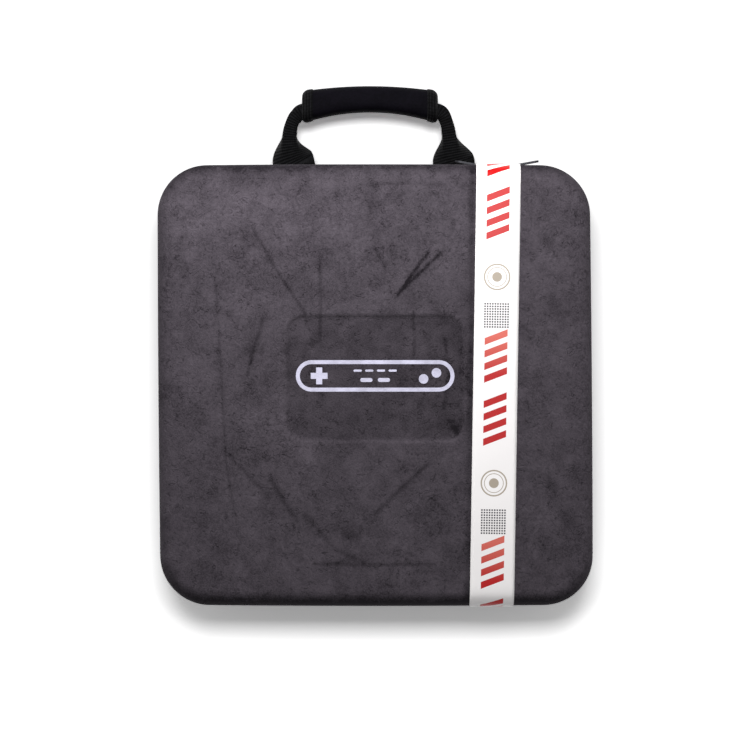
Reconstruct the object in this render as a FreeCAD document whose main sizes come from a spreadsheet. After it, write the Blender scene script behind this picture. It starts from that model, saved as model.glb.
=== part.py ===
import FreeCAD, Part
import math
import os
import Sketcher
from FreeCAD import Placement, Rotation, Vector

# Hard-shell carrying bag for a console, lying on its back.
# Two moulded shells meet at a zip that runs round three sides, with a cloth hinge on the fourth.
# Millimetres. +Z is the outward side of the lid, +Y the handle side, +X to the right of the lid.
# The origin is the middle of the back face, on the floor.

DOC = FreeCAD.newDocument("carrying_bag")
SHEET = DOC.addObject("Spreadsheet::Sheet", "sizes")

SIZES = (
    # Shells
    ("body_width", 380.0, "width of the bag at the zip"),
    ("body_height", 386.0, "height of the bag at the zip"),
    ("corner_radius", 46.0, "corner radius of the outline at the zip"),
    ("shell_depth", 58.5, "depth of each half, rim to outer face"),
    ("zip_gap", 13.0, "space between the two rims"),
    ("draft", 5.0, "lean of the side walls, in degrees"),
    ("edge_round", 15.0, "radius from wall to outer face"),
    ("wall", 5.0, "shell thickness with its cloth"),
    ("panel_width", 153.0, "pressed panel on the lid"),
    ("panel_height", 108.5, "pressed panel on the lid"),
    ("panel_radius", 16.0, "corner radius of the pressed panel"),
    ("panel_depth", 2.0, "depth of the pressed panel"),
    ("panel_rise", 6.0, "panel centre above the lid centre"),
    ("fit_gap", 0.3, "clearance between pieces that move or slip in"),
    # Zip, seam and hinge
    ("seam_lap", 9.0, "tape sewn behind the rim"),
    ("tape_thick", 0.9, "zip tape"),
    ("coil_width", 2.4, "one row of zip coil, along the tape's width"),
    ("coil_height", 2.0, "one row of zip coil, off the tape"),
    ("coil_gap", 1.6, "space between the two tape edges"),
    ("binding_thick", 0.8, "lining tape over the seam"),
    ("binding_height", 12.0, "lining tape over the seam"),
    ("hinge_length", 280.0, "cloth hinge on the side away from the handle"),
    ("hinge_lap", 14.0, "hinge cloth sewn on each wall"),
    ("hinge_thick", 1.2, "hinge cloth"),
    # Foam
    ("foam_setback", 1.5, "foam below the rim"),
    ("foam_round", 10.0, "radius at the closed side of the foam"),
    ("console_length", 312.0, "console bay along the width"),
    ("console_width", 280.0, "console bay along the height"),
    ("console_shift", -32.0, "console bay centre from the middle"),
    ("console_deep", 48.0, "depth of the bays in the base"),
    ("cable_width", 46.0, "cable bay along the height"),
    ("cable_shift", 146.0, "cable bay centre from the middle"),
    ("bay_radius", 8.0, "corner radius of the bays in the base"),
    ("pad_length", 168.0, "controller bay along the width"),
    ("pad_width", 112.0, "controller bay along the height"),
    ("pad_spread", 178.0, "distance between the controller bay centres"),
    ("pad_shift", 108.0, "controller bay centres from the middle"),
    ("pad_deep", 46.0, "depth of the bays in the lid"),
    ("pad_radius", 14.0, "corner radius of the bays in the lid"),
    ("spares_length", 330.0, "spares bay along the width"),
    ("spares_width", 180.0, "spares bay along the height"),
    ("spares_shift", -72.0, "spares bay centre from the middle"),
    # Handle
    ("handle_drop", 16.0, "handle below the base rim"),
    ("anchor_spread", 142.0, "distance between the two strap ends"),
    ("strap_width", 38.0, "webbing lying flat"),
    ("strap_thick", 2.2, "webbing lying flat"),
    ("folded_width", 13.2, "webbing folded in three"),
    ("grip_shift", -4.6, "grip middle to the side of the bag's middle"),
    ("grip_rise", 61.2, "grip middle beyond the outline"),
    ("grip_length", 120.8, "grip, end to end"),
    ("grip_height", 24.0, "grip across at its middle, in the plane of the arch"),
    ("grip_flare", 29.4, "grip across at its ends, in the plane of the arch"),
    ("grip_drop", 7.2, "grip ends below its middle"),
    ("grip_thick", 26.0, "grip across, square to the arch"),
    ("grip_round", 11.0, "corner radius of the grip"),
    ("strap_arch", 215.0, "radius of the webbing's arch in the grip"),
    ("strap_set", 2.5, "webbing below the middle of the grip"),
    ("strap_ease", 0.8, "room around the webbing in the grip"),
    ("leg_leave", 12.0, "webbing's straight run out of the grip"),
    ("leg_rise", 18.4, "webbing's straight run out of the wall"),
    ("leg_lean", -8.7, "sideways lean of both webbing ends above the wall"),
    ("leg_spread", 2.2, "outward lean of each webbing end above the wall"),
    ("cuff_width", 9.0, "tape cuff at each end of the grip"),
    ("cuff_thick", 0.8, "tape cuff at each end of the grip"),
    ("tail_length", 24.0, "webbing behind the wall"),
    ("plate_length", 48.0, "plate that holds the webbing behind the wall"),
    ("plate_height", 19.0, "plate that holds the webbing behind the wall"),
    ("plate_thick", 2.0, "plate that holds the webbing behind the wall"),
    ("rivet_spread", 22.0, "distance between the two rivets of a strap"),
    ("rivet_drop", 12.5, "rivets below the strap"),
    ("rivet_head", 9.0, "rivet head diameter"),
    ("rivet_shank", 3.8, "rivet shank diameter"),
    ("rivet_rise", 1.8, "height of the rivet head"),
    # Band
    ("band_width", 38.0, "white band across the lid"),
    ("band_thick", 0.8, "white band across the lid"),
    ("band_seat", 0.15, "space under the band"),
    ("band_shift", 103.0, "band centre to the right of the middle"),
    ("band_tilt", 0.9, "lean of the band, in degrees"),
    ("band_end", 16.0, "band ends this far from the lid rim"),
    # Sliders and pulls
    ("slider_length", 13.0, "slider along the zip"),
    ("slider_width", 9.5, "slider across the zip"),
    ("flange_thick", 1.1, "each plate of the slider"),
    ("post_thick", 1.0, "post between the two coils"),
    ("slider_left_side", 90.0, "left slider centre in from the right side"),
    ("slider_right_side", 75.5, "right slider centre in from the right side"),
    ("bail_rise", 3.0, "room under the slider's bail"),
    ("bail_thick", 1.0, "bail"),
    ("bail_width", 2.0, "bail across the zip"),
    ("pull_length", 30.0, "pull, pivot to tip"),
    ("pull_width", 8.0, "pull"),
    ("pull_thick", 1.6, "pull"),
    ("pull_lift", 10.0, "rest lift of the pulls, in degrees"),
)


def fill_sheet():
    """Writes each size on its own row, with its name as the alias."""
    for row, (name, value, use) in enumerate(SIZES, 1):
        SHEET.set("A%d" % row, name)
        SHEET.set("B%d" % row, repr(value))
        SHEET.set("C%d" % row, use)
        SHEET.setAlias("B%d" % row, name)
    DOC.recompute()


def value(text):
    """The number that an expression on the sheet gives."""
    result = SHEET.evalExpression(text)
    return float(getattr(result, "Value", result))


def size(name):
    """One size from the sheet."""
    return float(SHEET.get(name))


# Sizes that follow from the sheet, written as expressions.
RIM_Z = {"base": "sizes.shell_depth", "lid": "(sizes.shell_depth + sizes.zip_gap)"}
TAPE_INSET = "(sizes.wall + sizes.seam_lap * tan(sizes.draft) + 0.1)"
BINDING_INSET = "(%s + sizes.tape_thick + 0.1)" % TAPE_INSET
FOAM_INSET = "(%s + sizes.binding_thick + sizes.fit_gap)" % BINDING_INSET
TAPE_REACH = "((sizes.zip_gap - sizes.coil_gap) / 2)"
FOLDED_THICK = "(sizes.strap_width * sizes.strap_thick / sizes.folded_width)"
HANDLE_Z = "(sizes.shell_depth - sizes.handle_drop)"
GRIP_Y = "(sizes.body_height / 2 + sizes.grip_rise)"


def new_body(label):
    """An empty body whose label is the node name."""
    body = DOC.addObject("PartDesign::Body", label)
    body.Label = label
    return body


def seat_half(body, half):
    """Puts a body drawn from the rim outward on the base or the lid."""
    if half == "base":
        body.Placement = Placement(Vector(0, 0, 0), Rotation(Vector(0, 1, 0), 180))
    body.setExpression("Placement.Base.z", RIM_Z[half])


def new_sketch(body, name, plane, height=None):
    """A sketch on one of the body's own planes, moved off it by an expression."""
    sketch = body.newObject("Sketcher::SketchObject", name)
    support = [item for item in body.Origin.OriginFeatures if item.Role == plane][0]
    sketch.AttachmentSupport = [(support, "")]
    sketch.MapMode = "FlatFace"
    if height is not None:
        sketch.setExpression("AttachmentOffset.Base.z", height)
    return sketch


def bind(sketch, kind, refs, text):
    """One driving constraint tied to an expression."""
    index = sketch.addConstraint(Sketcher.Constraint(kind, *refs, value(text)))
    sketch.setExpression("Constraints[%d]" % index, text)


def bind_point(sketch, geometry, end, across, up):
    """Ties a point to expressions for both coordinates; None leaves one free."""
    for kind, text, axis in (("DistanceX", across, -2), ("DistanceY", up, -1)):
        if text is None:
            continue
        amount = value(text)
        if abs(amount) < 1e-9:
            sketch.addConstraint(Sketcher.Constraint("PointOnObject", geometry, end, axis))
        elif amount > 0:
            bind(sketch, kind, (-1, 1, geometry, end), text)
        else:
            bind(sketch, kind, (geometry, end, -1, 1), "-(%s)" % text)


def add_rounded(sketch, width, height, radius, across="0", up="0"):
    """A rounded rectangle with expressions for its size and centre."""
    half_w = value(width) / 2
    half_h = value(height) / 2
    round_r = value(radius)
    mid = Vector(value(across), value(up), 0)
    inner_w = half_w - round_r
    inner_h = half_h - round_r
    first = sketch.GeometryCount
    turns = ((1, -1, -90), (1, 1, 0), (-1, 1, 90), (-1, -1, 180))
    starts = ((-inner_w, -half_h), (half_w, -inner_h), (inner_w, half_h), (-half_w, inner_h))
    ends = ((inner_w, -half_h), (half_w, inner_h), (-inner_w, half_h), (-half_w, -inner_h))
    for (sx, sy, angle), start, end in zip(turns, starts, ends):
        sketch.addGeometry(Part.LineSegment(mid + Vector(*start, 0), mid + Vector(*end, 0)))
        circle = Part.Circle(mid + Vector(sx * inner_w, sy * inner_h, 0), Vector(0, 0, 1), round_r)
        low = math.radians(angle)
        sketch.addGeometry(Part.ArcOfCircle(circle, low, low + math.pi / 2))
    for side in range(4):
        line = first + 2 * side
        arc = line + 1
        after = first + (2 * side + 2) % 8
        sketch.addConstraint(Sketcher.Constraint("Tangent", line, 2, arc, 1))
        sketch.addConstraint(Sketcher.Constraint("Tangent", arc, 2, after, 1))
        direction = "Horizontal" if side % 2 == 0 else "Vertical"
        sketch.addConstraint(Sketcher.Constraint(direction, line))
        if side:
            sketch.addConstraint(Sketcher.Constraint("Equal", first + 1, arc))
    bind(sketch, "Radius", (first + 1,), radius)
    bind_point(sketch, first, 1, None, "%s - (%s) / 2" % (up, height))
    bind_point(sketch, first + 2, 1, "%s + (%s) / 2" % (across, width), None)
    bind_point(sketch, first + 4, 1, None, "%s + (%s) / 2" % (up, height))
    bind_point(sketch, first + 6, 1, "%s - (%s) / 2" % (across, width), None)


def add_polygon(sketch, corners):
    """A closed outline with an expression for each coordinate of its corners."""
    points = [Vector(value(x), value(y), 0) for x, y in corners]
    first = sketch.GeometryCount
    count = len(points)
    for index in range(count):
        sketch.addGeometry(Part.LineSegment(points[index], points[(index + 1) % count]))
    for index in range(count):
        after = first + (index + 1) % count
        sketch.addConstraint(Sketcher.Constraint("Coincident", first + index, 2, after, 1))
    for index, (x, y) in enumerate(corners):
        bind_point(sketch, first + index, 1, x, y)


def add_circle(sketch, diameter, across, up):
    """A circle with expressions for its size and centre."""
    centre = Vector(value(across), value(up), 0)
    index = sketch.addGeometry(Part.Circle(centre, Vector(0, 0, 1), value(diameter) / 2))
    bind(sketch, "Radius", (index,), "(%s) / 2" % diameter)
    bind_point(sketch, index, 3, across, up)


def extrude(body, kind, sketch, length, taper=None, reverse=False, both=False):
    """A pad or pocket with an expression for its length and its taper."""
    feature = body.newObject("PartDesign::" + kind, sketch.Name + "_" + kind.lower())
    feature.Profile = sketch
    feature.setExpression("Length", length)
    if taper:
        feature.setExpression("TaperAngle", taper)
    if both:
        feature.SideType = "Symmetric"
    feature.Reversed = reverse
    DOC.recompute()
    return feature


def edges_at(feature, height):
    """Names of the edges that lie at one local height."""
    found = []
    for index, edge in enumerate(feature.Shape.Edges, 1):
        box = edge.BoundBox
        if abs(box.ZMin - height) < 1e-4 and abs(box.ZMax - height) < 1e-4:
            found.append("Edge%d" % index)
    return found


def round_edges(body, name, feature, edges, radius):
    """A fillet with an expression for its radius."""
    fillet = body.newObject("PartDesign::Fillet", name)
    fillet.Base = (feature, edges)
    fillet.setExpression("Radius", radius)
    DOC.recompute()
    return fillet


def moulded_form(body, tag, grow, depth):
    """A half of the bag as a solid: drafted walls and a round to the outer face."""
    outline = new_sketch(body, tag + "_outline", "XY_Plane")
    add_rounded(
        outline,
        "sizes.body_width + 2 * %s" % grow,
        "sizes.body_height + 2 * %s" % grow,
        "sizes.corner_radius + %s" % grow,
    )
    form = extrude(body, "Pad", outline, depth, taper="-sizes.draft")
    edges = edges_at(form, value(depth))
    return round_edges(body, tag + "_round", form, edges, "sizes.edge_round + %s" % grow)


def hollow(body, tag, grow, depth, radius):
    """Hollows a moulded form from its rim, with the same draft and a round at the floor."""
    cavity = new_sketch(body, tag + "_cavity", "XY_Plane")
    add_rounded(
        cavity,
        "sizes.body_width + 2 * %s" % grow,
        "sizes.body_height + 2 * %s" % grow,
        "sizes.corner_radius + %s" % grow,
    )
    cut = extrude(body, "Pocket", cavity, depth, taper="-sizes.draft", reverse=True)
    return round_edges(body, tag + "_floor_round", cut, edges_at(cut, value(depth)), radius)


def make_shell(half):
    """One moulded shell; the lid carries the panel, the base the handle slots."""
    label = half + "_shell"
    body = new_body(label)
    moulded_form(body, label, "0", "sizes.shell_depth")
    hollow(
        body,
        label,
        "(-sizes.wall / cos(sizes.draft))",
        "sizes.shell_depth - sizes.wall",
        "sizes.edge_round - sizes.wall",
    )
    if half == "lid":
        panel = new_sketch(body, "panel_outline", "XY_Plane", "sizes.shell_depth")
        add_rounded(
            panel, "sizes.panel_width", "sizes.panel_height", "sizes.panel_radius", up="sizes.panel_rise"
        )
        extrude(body, "Pocket", panel, "sizes.panel_depth", taper="-30")
    else:
        slots = new_sketch(body, "handle_slots", "XZ_Plane", "-(sizes.body_height / 2 + 2)")
        for side in ("-", ""):
            middle = "%ssizes.anchor_spread / 2" % side
            add_rounded(
                slots,
                "sizes.strap_width + 1",
                "sizes.strap_thick + 1",
                "1.2",
                middle,
                "sizes.handle_drop",
            )
            for place in ("-", "+"):
                add_circle(
                    slots,
                    "sizes.rivet_shank + 0.8",
                    "%s %s sizes.rivet_spread / 2" % (middle, place),
                    "sizes.handle_drop + sizes.rivet_drop",
                )
        extrude(body, "Pocket", slots, "20", reverse=True)
    seat_half(body, half)
    return body


def make_ring(label, half, inset, thick, low, high, open_side):
    """A strip round the inside of a rim, left open along the hinge when asked."""
    body = new_body(label)
    outline = new_sketch(body, label + "_outline", "XY_Plane", low)
    for step in ("0", thick):
        add_rounded(
            outline,
            "sizes.body_width - 2 * (%s + %s)" % (inset, step),
            "sizes.body_height - 2 * (%s + %s)" % (inset, step),
            "sizes.corner_radius - (%s + %s)" % (inset, step),
        )
    extrude(body, "Pad", outline, "%s - (%s)" % (high, low))
    if open_side:
        gap = new_sketch(body, label + "_gap", "XY_Plane", high)
        reach = "sizes.hinge_length / 2 + 3"
        add_polygon(
            gap,
            (
                ("-(%s)" % reach, "-sizes.body_height / 2 - 2"),
                (reach, "-sizes.body_height / 2 - 2"),
                (reach, "-sizes.body_height / 2 + 20"),
                ("-(%s)" % reach, "-sizes.body_height / 2 + 20"),
            ),
        )
        extrude(body, "Pocket", gap, "%s - (%s) + 1" % (high, low))
    seat_half(body, half)
    return body


def make_foam(label, half, bays, deep):
    """A foam tray that fills a half, with bays cut from the rim side."""
    body = new_body(label)
    outline = new_sketch(body, label + "_outline", "XY_Plane", "sizes.foam_setback")
    add_rounded(
        outline,
        "sizes.body_width - 2 * %s" % FOAM_INSET,
        "sizes.body_height - 2 * %s" % FOAM_INSET,
        "sizes.corner_radius - %s" % FOAM_INSET,
    )
    depth = "sizes.shell_depth - sizes.wall - sizes.foam_setback"
    form = extrude(body, "Pad", outline, depth, taper="-sizes.draft")
    edges = edges_at(form, value(depth) + size("foam_setback"))
    round_edges(body, label + "_round", form, edges, "sizes.foam_round")
    cut = new_sketch(body, label + "_bays", "XY_Plane", "sizes.foam_setback")
    for length, width, radius, across, up in bays:
        add_rounded(cut, length, width, radius, across, up)
    extrude(body, "Pocket", cut, deep, reverse=True)
    if half == "base":
        notch = new_sketch(body, label + "_notches", "XY_Plane", "sizes.foam_setback")
        for side in ("-", ""):
            add_rounded(
                notch,
                "sizes.plate_length + 6",
                "30",
                "3",
                "%ssizes.anchor_spread / 2" % side,
                "sizes.body_height / 2 - 1",
            )
        extrude(body, "Pocket", notch, "sizes.handle_drop + sizes.tail_length + 4", reverse=True)
    seat_half(body, half)
    return body


def make_hinge():
    """The cloth hinge: a strip over the gap, sewn flat on both drafted walls."""
    label = "hinge_strip"
    body = new_body(label)
    profile = new_sketch(body, "hinge_profile", "YZ_Plane")
    face = "-sizes.body_height / 2 - 0.05"
    lean = "sizes.hinge_lap * tan(sizes.draft)"
    low = "sizes.shell_depth"
    high = "(sizes.shell_depth + sizes.zip_gap)"
    add_polygon(
        profile,
        (
            ("%s + %s" % (face, lean), "%s - sizes.hinge_lap" % low),
            (face, low),
            (face, high),
            ("%s + %s" % (face, lean), "%s + sizes.hinge_lap" % high),
            ("%s + %s - sizes.hinge_thick" % (face, lean), "%s + sizes.hinge_lap" % high),
            ("%s - sizes.hinge_thick" % face, high),
            ("%s - sizes.hinge_thick" % face, low),
            ("%s + %s - sizes.hinge_thick" % (face, lean), "%s - sizes.hinge_lap" % low),
        ),
    )
    extrude(body, "Pad", profile, "sizes.hinge_length", both=True)
    return body


def add_bar(sketch, half, grow):
    """A bar between two arcs, wider at its ends, with its middle at the origin."""
    top = "sizes.grip_height / 2 + %s" % grow
    low = "-sizes.grip_height / 2 - %s" % grow
    top_end = "sizes.grip_flare / 2 - sizes.grip_drop + %s" % grow
    low_end = "-sizes.grip_flare / 2 - sizes.grip_drop - %s" % grow
    right = value(half)
    for middle, end in ((top, top_end), (low, low_end)):
        arc = Part.Arc(
            Vector(right, value(end), 0), Vector(0, value(middle), 0), Vector(-right, value(end), 0)
        )
        index = sketch.addGeometry(arc)
        spot = sketch.addGeometry(Part.Point(Vector(0, value(middle), 0)), True)
        sketch.addConstraint(Sketcher.Constraint("PointOnObject", spot, 1, index))
        bind_point(sketch, spot, 1, "0", middle)
        bind_point(sketch, index, 1, half, end)
        bind_point(sketch, index, 2, "-(%s)" % half, end)
    for end, side in ((1, right), (2, -right)):
        line = sketch.addGeometry(
            Part.LineSegment(Vector(side, value(low_end), 0), Vector(side, value(top_end), 0))
        )
        sketch.addConstraint(Sketcher.Constraint("Coincident", line, 1, 2, end))
        sketch.addConstraint(Sketcher.Constraint("Coincident", line, 2, 0, end))


def grip_form(label, grow):
    """The grip as a solid bar with rounded long edges, grown all round but not at its ends."""
    body = new_body(label)
    outline = new_sketch(body, label + "_outline", "XY_Plane")
    add_bar(outline, "sizes.grip_length / 2", grow)
    bar = extrude(body, "Pad", outline, "sizes.grip_thick + 2 * %s" % grow, both=True)
    arcs = [
        "Edge%d" % index
        for index, edge in enumerate(bar.Shape.Edges, 1)
        if isinstance(edge.Curve, Part.Circle)
    ]
    round_edges(body, label + "_round", bar, arcs, "sizes.grip_round + %s" % grow)
    body.setExpression("Placement.Base.x", "sizes.grip_shift")
    body.setExpression("Placement.Base.y", GRIP_Y)
    body.setExpression("Placement.Base.z", HANDLE_Z)
    return body


def make_grip():
    """The padded grip with the webbing's way through it, and its two tape cuffs."""
    grip = grip_form("handle_grip", "0")
    slot = new_sketch(grip, "handle_grip_slot", "YZ_Plane")
    slot.setExpression("AttachmentOffset.Base.x", "-sizes.strap_set - sizes.strap_arch")
    add_rounded(
        slot,
        "sizes.folded_width + 2 * sizes.strap_ease",
        "%s + 2 * sizes.strap_ease" % FOLDED_THICK,
        "1",
        "sizes.strap_arch",
        "0",
    )
    way = grip.newObject("PartDesign::Groove", "handle_grip_way")
    way.Profile = slot
    way.ReferenceAxis = (slot, ["V_Axis"])
    way.setExpression("Angle", "2 * asin((sizes.grip_length / 2 + 6) / sizes.strap_arch)")
    way.Midplane = True
    DOC.recompute()
    skin = DOC.addObject("Part::Cut", "cuff_skin")
    skin.Base = grip_form("cuff_outer", "sizes.cuff_thick")
    skin.Tool = grip_form("cuff_inner", "0.1")
    for name, place in (
        ("grip_binding_left", "sizes.grip_shift - sizes.grip_length / 2"),
        ("grip_binding_right", "sizes.grip_shift + sizes.grip_length / 2 - sizes.cuff_width"),
    ):
        end = DOC.addObject("Part::Box", name + "_end")
        end.setExpression("Length", "sizes.cuff_width")
        end.setExpression("Width", "sizes.grip_flare + 30")
        end.setExpression("Height", "sizes.grip_thick + 10")
        end.setExpression("Placement.Base.x", place)
        end.setExpression("Placement.Base.y", "%s - sizes.grip_drop - sizes.grip_flare / 2 - 15" % GRIP_Y)
        end.setExpression("Placement.Base.z", "%s - sizes.grip_thick / 2 - 5" % HANDLE_Z)
        cuff = DOC.addObject("Part::Common", name)
        cuff.Base = skin
        cuff.Tool = end
    DOC.recompute()


def arch_centre():
    """Centre of the webbing's arch in the grip."""
    up = value(GRIP_Y) - size("strap_set") - size("strap_arch")
    return Vector(size("grip_shift"), up, value(HANDLE_Z))


def strap_section(point, along, width, thick):
    """A rectangle of webbing square to its run, lying in the plane of the arch."""
    across = Vector(-along.y, along.x, 0) * (width / 2)
    up = Vector(0, 0, thick / 2)
    corners = [point - across - up, point + across - up, point + across + up, point - across + up]
    return Part.makePolygon(corners + corners[:1])


def wall_frame(side):
    """Placement on the base's handle wall at a strap: Y out of the wall, Z up along it."""
    drop = size("handle_drop")
    lean = math.tan(math.radians(size("draft")))
    spot = Vector(side * size("anchor_spread") / 2, size("body_height") / 2 - drop * lean, value(HANDLE_Z))
    return Placement(spot, Rotation(Vector(1, 0, 0), -size("draft")))


def smooth(amount):
    """Eases a share from 0 to 1."""
    amount = min(max(amount, 0.0), 1.0)
    return amount * amount * (3 - 2 * amount)


def strap_leg(side):
    """One end of the webbing: folded at the grip, opening out flat, through the wall and down."""
    width = size("strap_width")
    thick = size("strap_thick")
    folded = size("folded_width")
    wall = size("wall")
    radius = size("strap_arch")
    level = value(HANDLE_Z)
    half = math.asin(size("grip_length") / 2 / radius)
    start = arch_centre() + Vector(side * math.sin(half), math.cos(half), 0) * radius
    leave = Vector(side * math.cos(half), -math.sin(half), 0)
    spot = wall_frame(side).Base
    root = Vector(spot.x, spot.y + 4, level)
    lean = size("leg_lean") + side * size("leg_spread")
    curve = Part.BezierCurve()
    curve.setPoles(
        [start, start + leave * size("leg_leave"), root + Vector(lean, size("leg_rise"), 0), root]
    )
    sections = []
    steps = 12
    for step in range(steps + 1):
        share = step / steps
        opened = folded + (width - folded) * smooth((share - 0.5) / 0.42)
        along = curve.tangent(share)[0]
        sections.append(strap_section(curve.value(share), along, opened, width * thick / opened))
    leg = Part.makeLoft(sections, True, False)
    inside = spot.y - (wall + thick) / math.cos(math.radians(size("draft")))
    passage = Part.makeBox(width, root.y - inside, thick, Vector(spot.x - width / 2, inside, level - thick / 2))
    tail = Part.makeBox(
        width,
        thick,
        size("tail_length") + thick / 2,
        Vector(-width / 2, -wall - thick, -size("tail_length")),
    )
    for place in (-1, 1):
        centre = Vector(place * size("rivet_spread") / 2, -wall - thick - 1, -size("rivet_drop"))
        tail = tail.cut(Part.makeCylinder(size("rivet_shank") / 2 + 0.1, thick + 2, centre, Vector(0, 1, 0)))
    tail.Placement = wall_frame(side)
    return leg.fuse([passage, tail])


def make_webbing():
    """The whole strap: folded run inside the grip and both ends."""
    radius = size("strap_arch")
    half = math.degrees(math.asin(size("grip_length") / 2 / radius))
    centre = arch_centre()
    top = centre + Vector(0, radius, 0)
    ring = strap_section(top, Vector(1, 0, 0), size("folded_width"), value(FOLDED_THICK))
    face = Part.Face(ring)
    face.rotate(centre, Vector(0, 0, 1), -half)
    run = face.revolve(centre, Vector(0, 0, 1), 2 * half)
    strap = run.fuse([strap_leg(-1), strap_leg(1)]).removeSplitter()
    webbing = DOC.addObject("Part::Feature", "handle_webbing")
    webbing.Shape = strap
    return webbing


def make_anchors():
    """Plates behind the wall and the rivets that hold the strap ends."""
    rivets = []
    wall = size("wall")
    thick = size("strap_thick")
    back = wall + thick + size("plate_thick")
    for name, side in (("anchor_plate_left", -1), ("anchor_plate_right", 1)):
        body = new_body(name)
        outline = new_sketch(body, name + "_outline", "XZ_Plane")
        add_rounded(
            outline, "sizes.plate_length", "sizes.plate_height", "4", "0", "-sizes.rivet_drop"
        )
        for place in ("-", ""):
            add_circle(
                outline,
                "sizes.rivet_shank + 0.2",
                "%ssizes.rivet_spread / 2" % place,
                "-sizes.rivet_drop",
            )
        extrude(body, "Pad", outline, "sizes.plate_thick")
        frame = wall_frame(side)
        body.Placement = frame.multiply(Placement(Vector(0, -wall - thick, 0), Rotation()))
        for place in (-1, 1):
            spot = Vector(place * size("rivet_spread") / 2, 0, -size("rivet_drop"))
            rivet = rivet_solid(back)
            rivet.Placement = frame.multiply(Placement(spot, Rotation()))
            rivets.append(rivet)
    group = DOC.addObject("Part::Feature", "anchor_rivets")
    group.Shape = Part.makeCompound(rivets)


def rivet_solid(back):
    """One rivet along Y: domed head outside, shank, flat clinched end inside."""
    head = size("rivet_head") / 2
    shank = size("rivet_shank") / 2
    rise = size("rivet_rise")
    rim = 0.5
    crown = 0.8
    clinch = 1.2
    profile = [
        Part.LineSegment(Vector(0, -back - clinch, 0), Vector(head * 0.75, -back - clinch, 0)).toShape(),
        Part.LineSegment(Vector(head * 0.75, -back - clinch, 0), Vector(head * 0.75, -back, 0)).toShape(),
        Part.LineSegment(Vector(head * 0.75, -back, 0), Vector(shank, -back, 0)).toShape(),
        Part.LineSegment(Vector(shank, -back, 0), Vector(shank, 0, 0)).toShape(),
        Part.LineSegment(Vector(shank, 0, 0), Vector(head, 0, 0)).toShape(),
        Part.LineSegment(Vector(head, 0, 0), Vector(head, rim, 0)).toShape(),
        Part.Arc(
            Vector(head, rim, 0),
            Vector(head * 0.65, rim + (rise - rim) * 0.68, 0),
            Vector(crown, rise, 0),
        ).toShape(),
        Part.LineSegment(Vector(crown, rise, 0), Vector(0, rise, 0)).toShape(),
        Part.LineSegment(Vector(0, rise, 0), Vector(0, -back - clinch, 0)).toShape(),
    ]
    face = Part.Face(Part.Wire(profile))
    return face.revolve(Vector(0, 0, 0), Vector(0, 1, 0), 360)


def make_band():
    """The band: a thin skin over the lid's own form, kept where the band lies."""
    skin = DOC.addObject("Part::Cut", "band_skin")
    for role, grow in (("Base", "(sizes.band_seat + sizes.band_thick)"), ("Tool", "sizes.band_seat")):
        body = new_body("band_" + role.lower())
        moulded_form(body, body.Name, grow, "sizes.shell_depth + %s" % grow)
        setattr(skin, role, body)
    strip = DOC.addObject("Part::Box", "band_strip")
    strip.setExpression("Length", "sizes.band_width")
    strip.setExpression("Width", "sizes.body_height + 60")
    strip.setExpression("Height", "sizes.shell_depth")
    strip.Placement = Placement(Vector(0, 0, 0), Rotation(Vector(0, 0, -1), 1))
    strip.setExpression("Placement.Rotation.Angle", "sizes.band_tilt")
    strip.setExpression(
        "Placement.Base.x",
        "sizes.band_shift - sizes.band_width / 2 * cos(sizes.band_tilt)"
        " - (sizes.body_height / 2 + 30) * sin(sizes.band_tilt)",
    )
    strip.setExpression(
        "Placement.Base.y",
        "sizes.band_width / 2 * sin(sizes.band_tilt) - (sizes.body_height / 2 + 30) * cos(sizes.band_tilt)",
    )
    strip.setExpression("Placement.Base.z", "sizes.band_end")
    band = DOC.addObject("Part::Common", "front_band")
    band.Base = skin
    band.Tool = strip
    band.setExpression("Placement.Base.z", RIM_Z["lid"])
    DOC.recompute()
    return band


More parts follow.
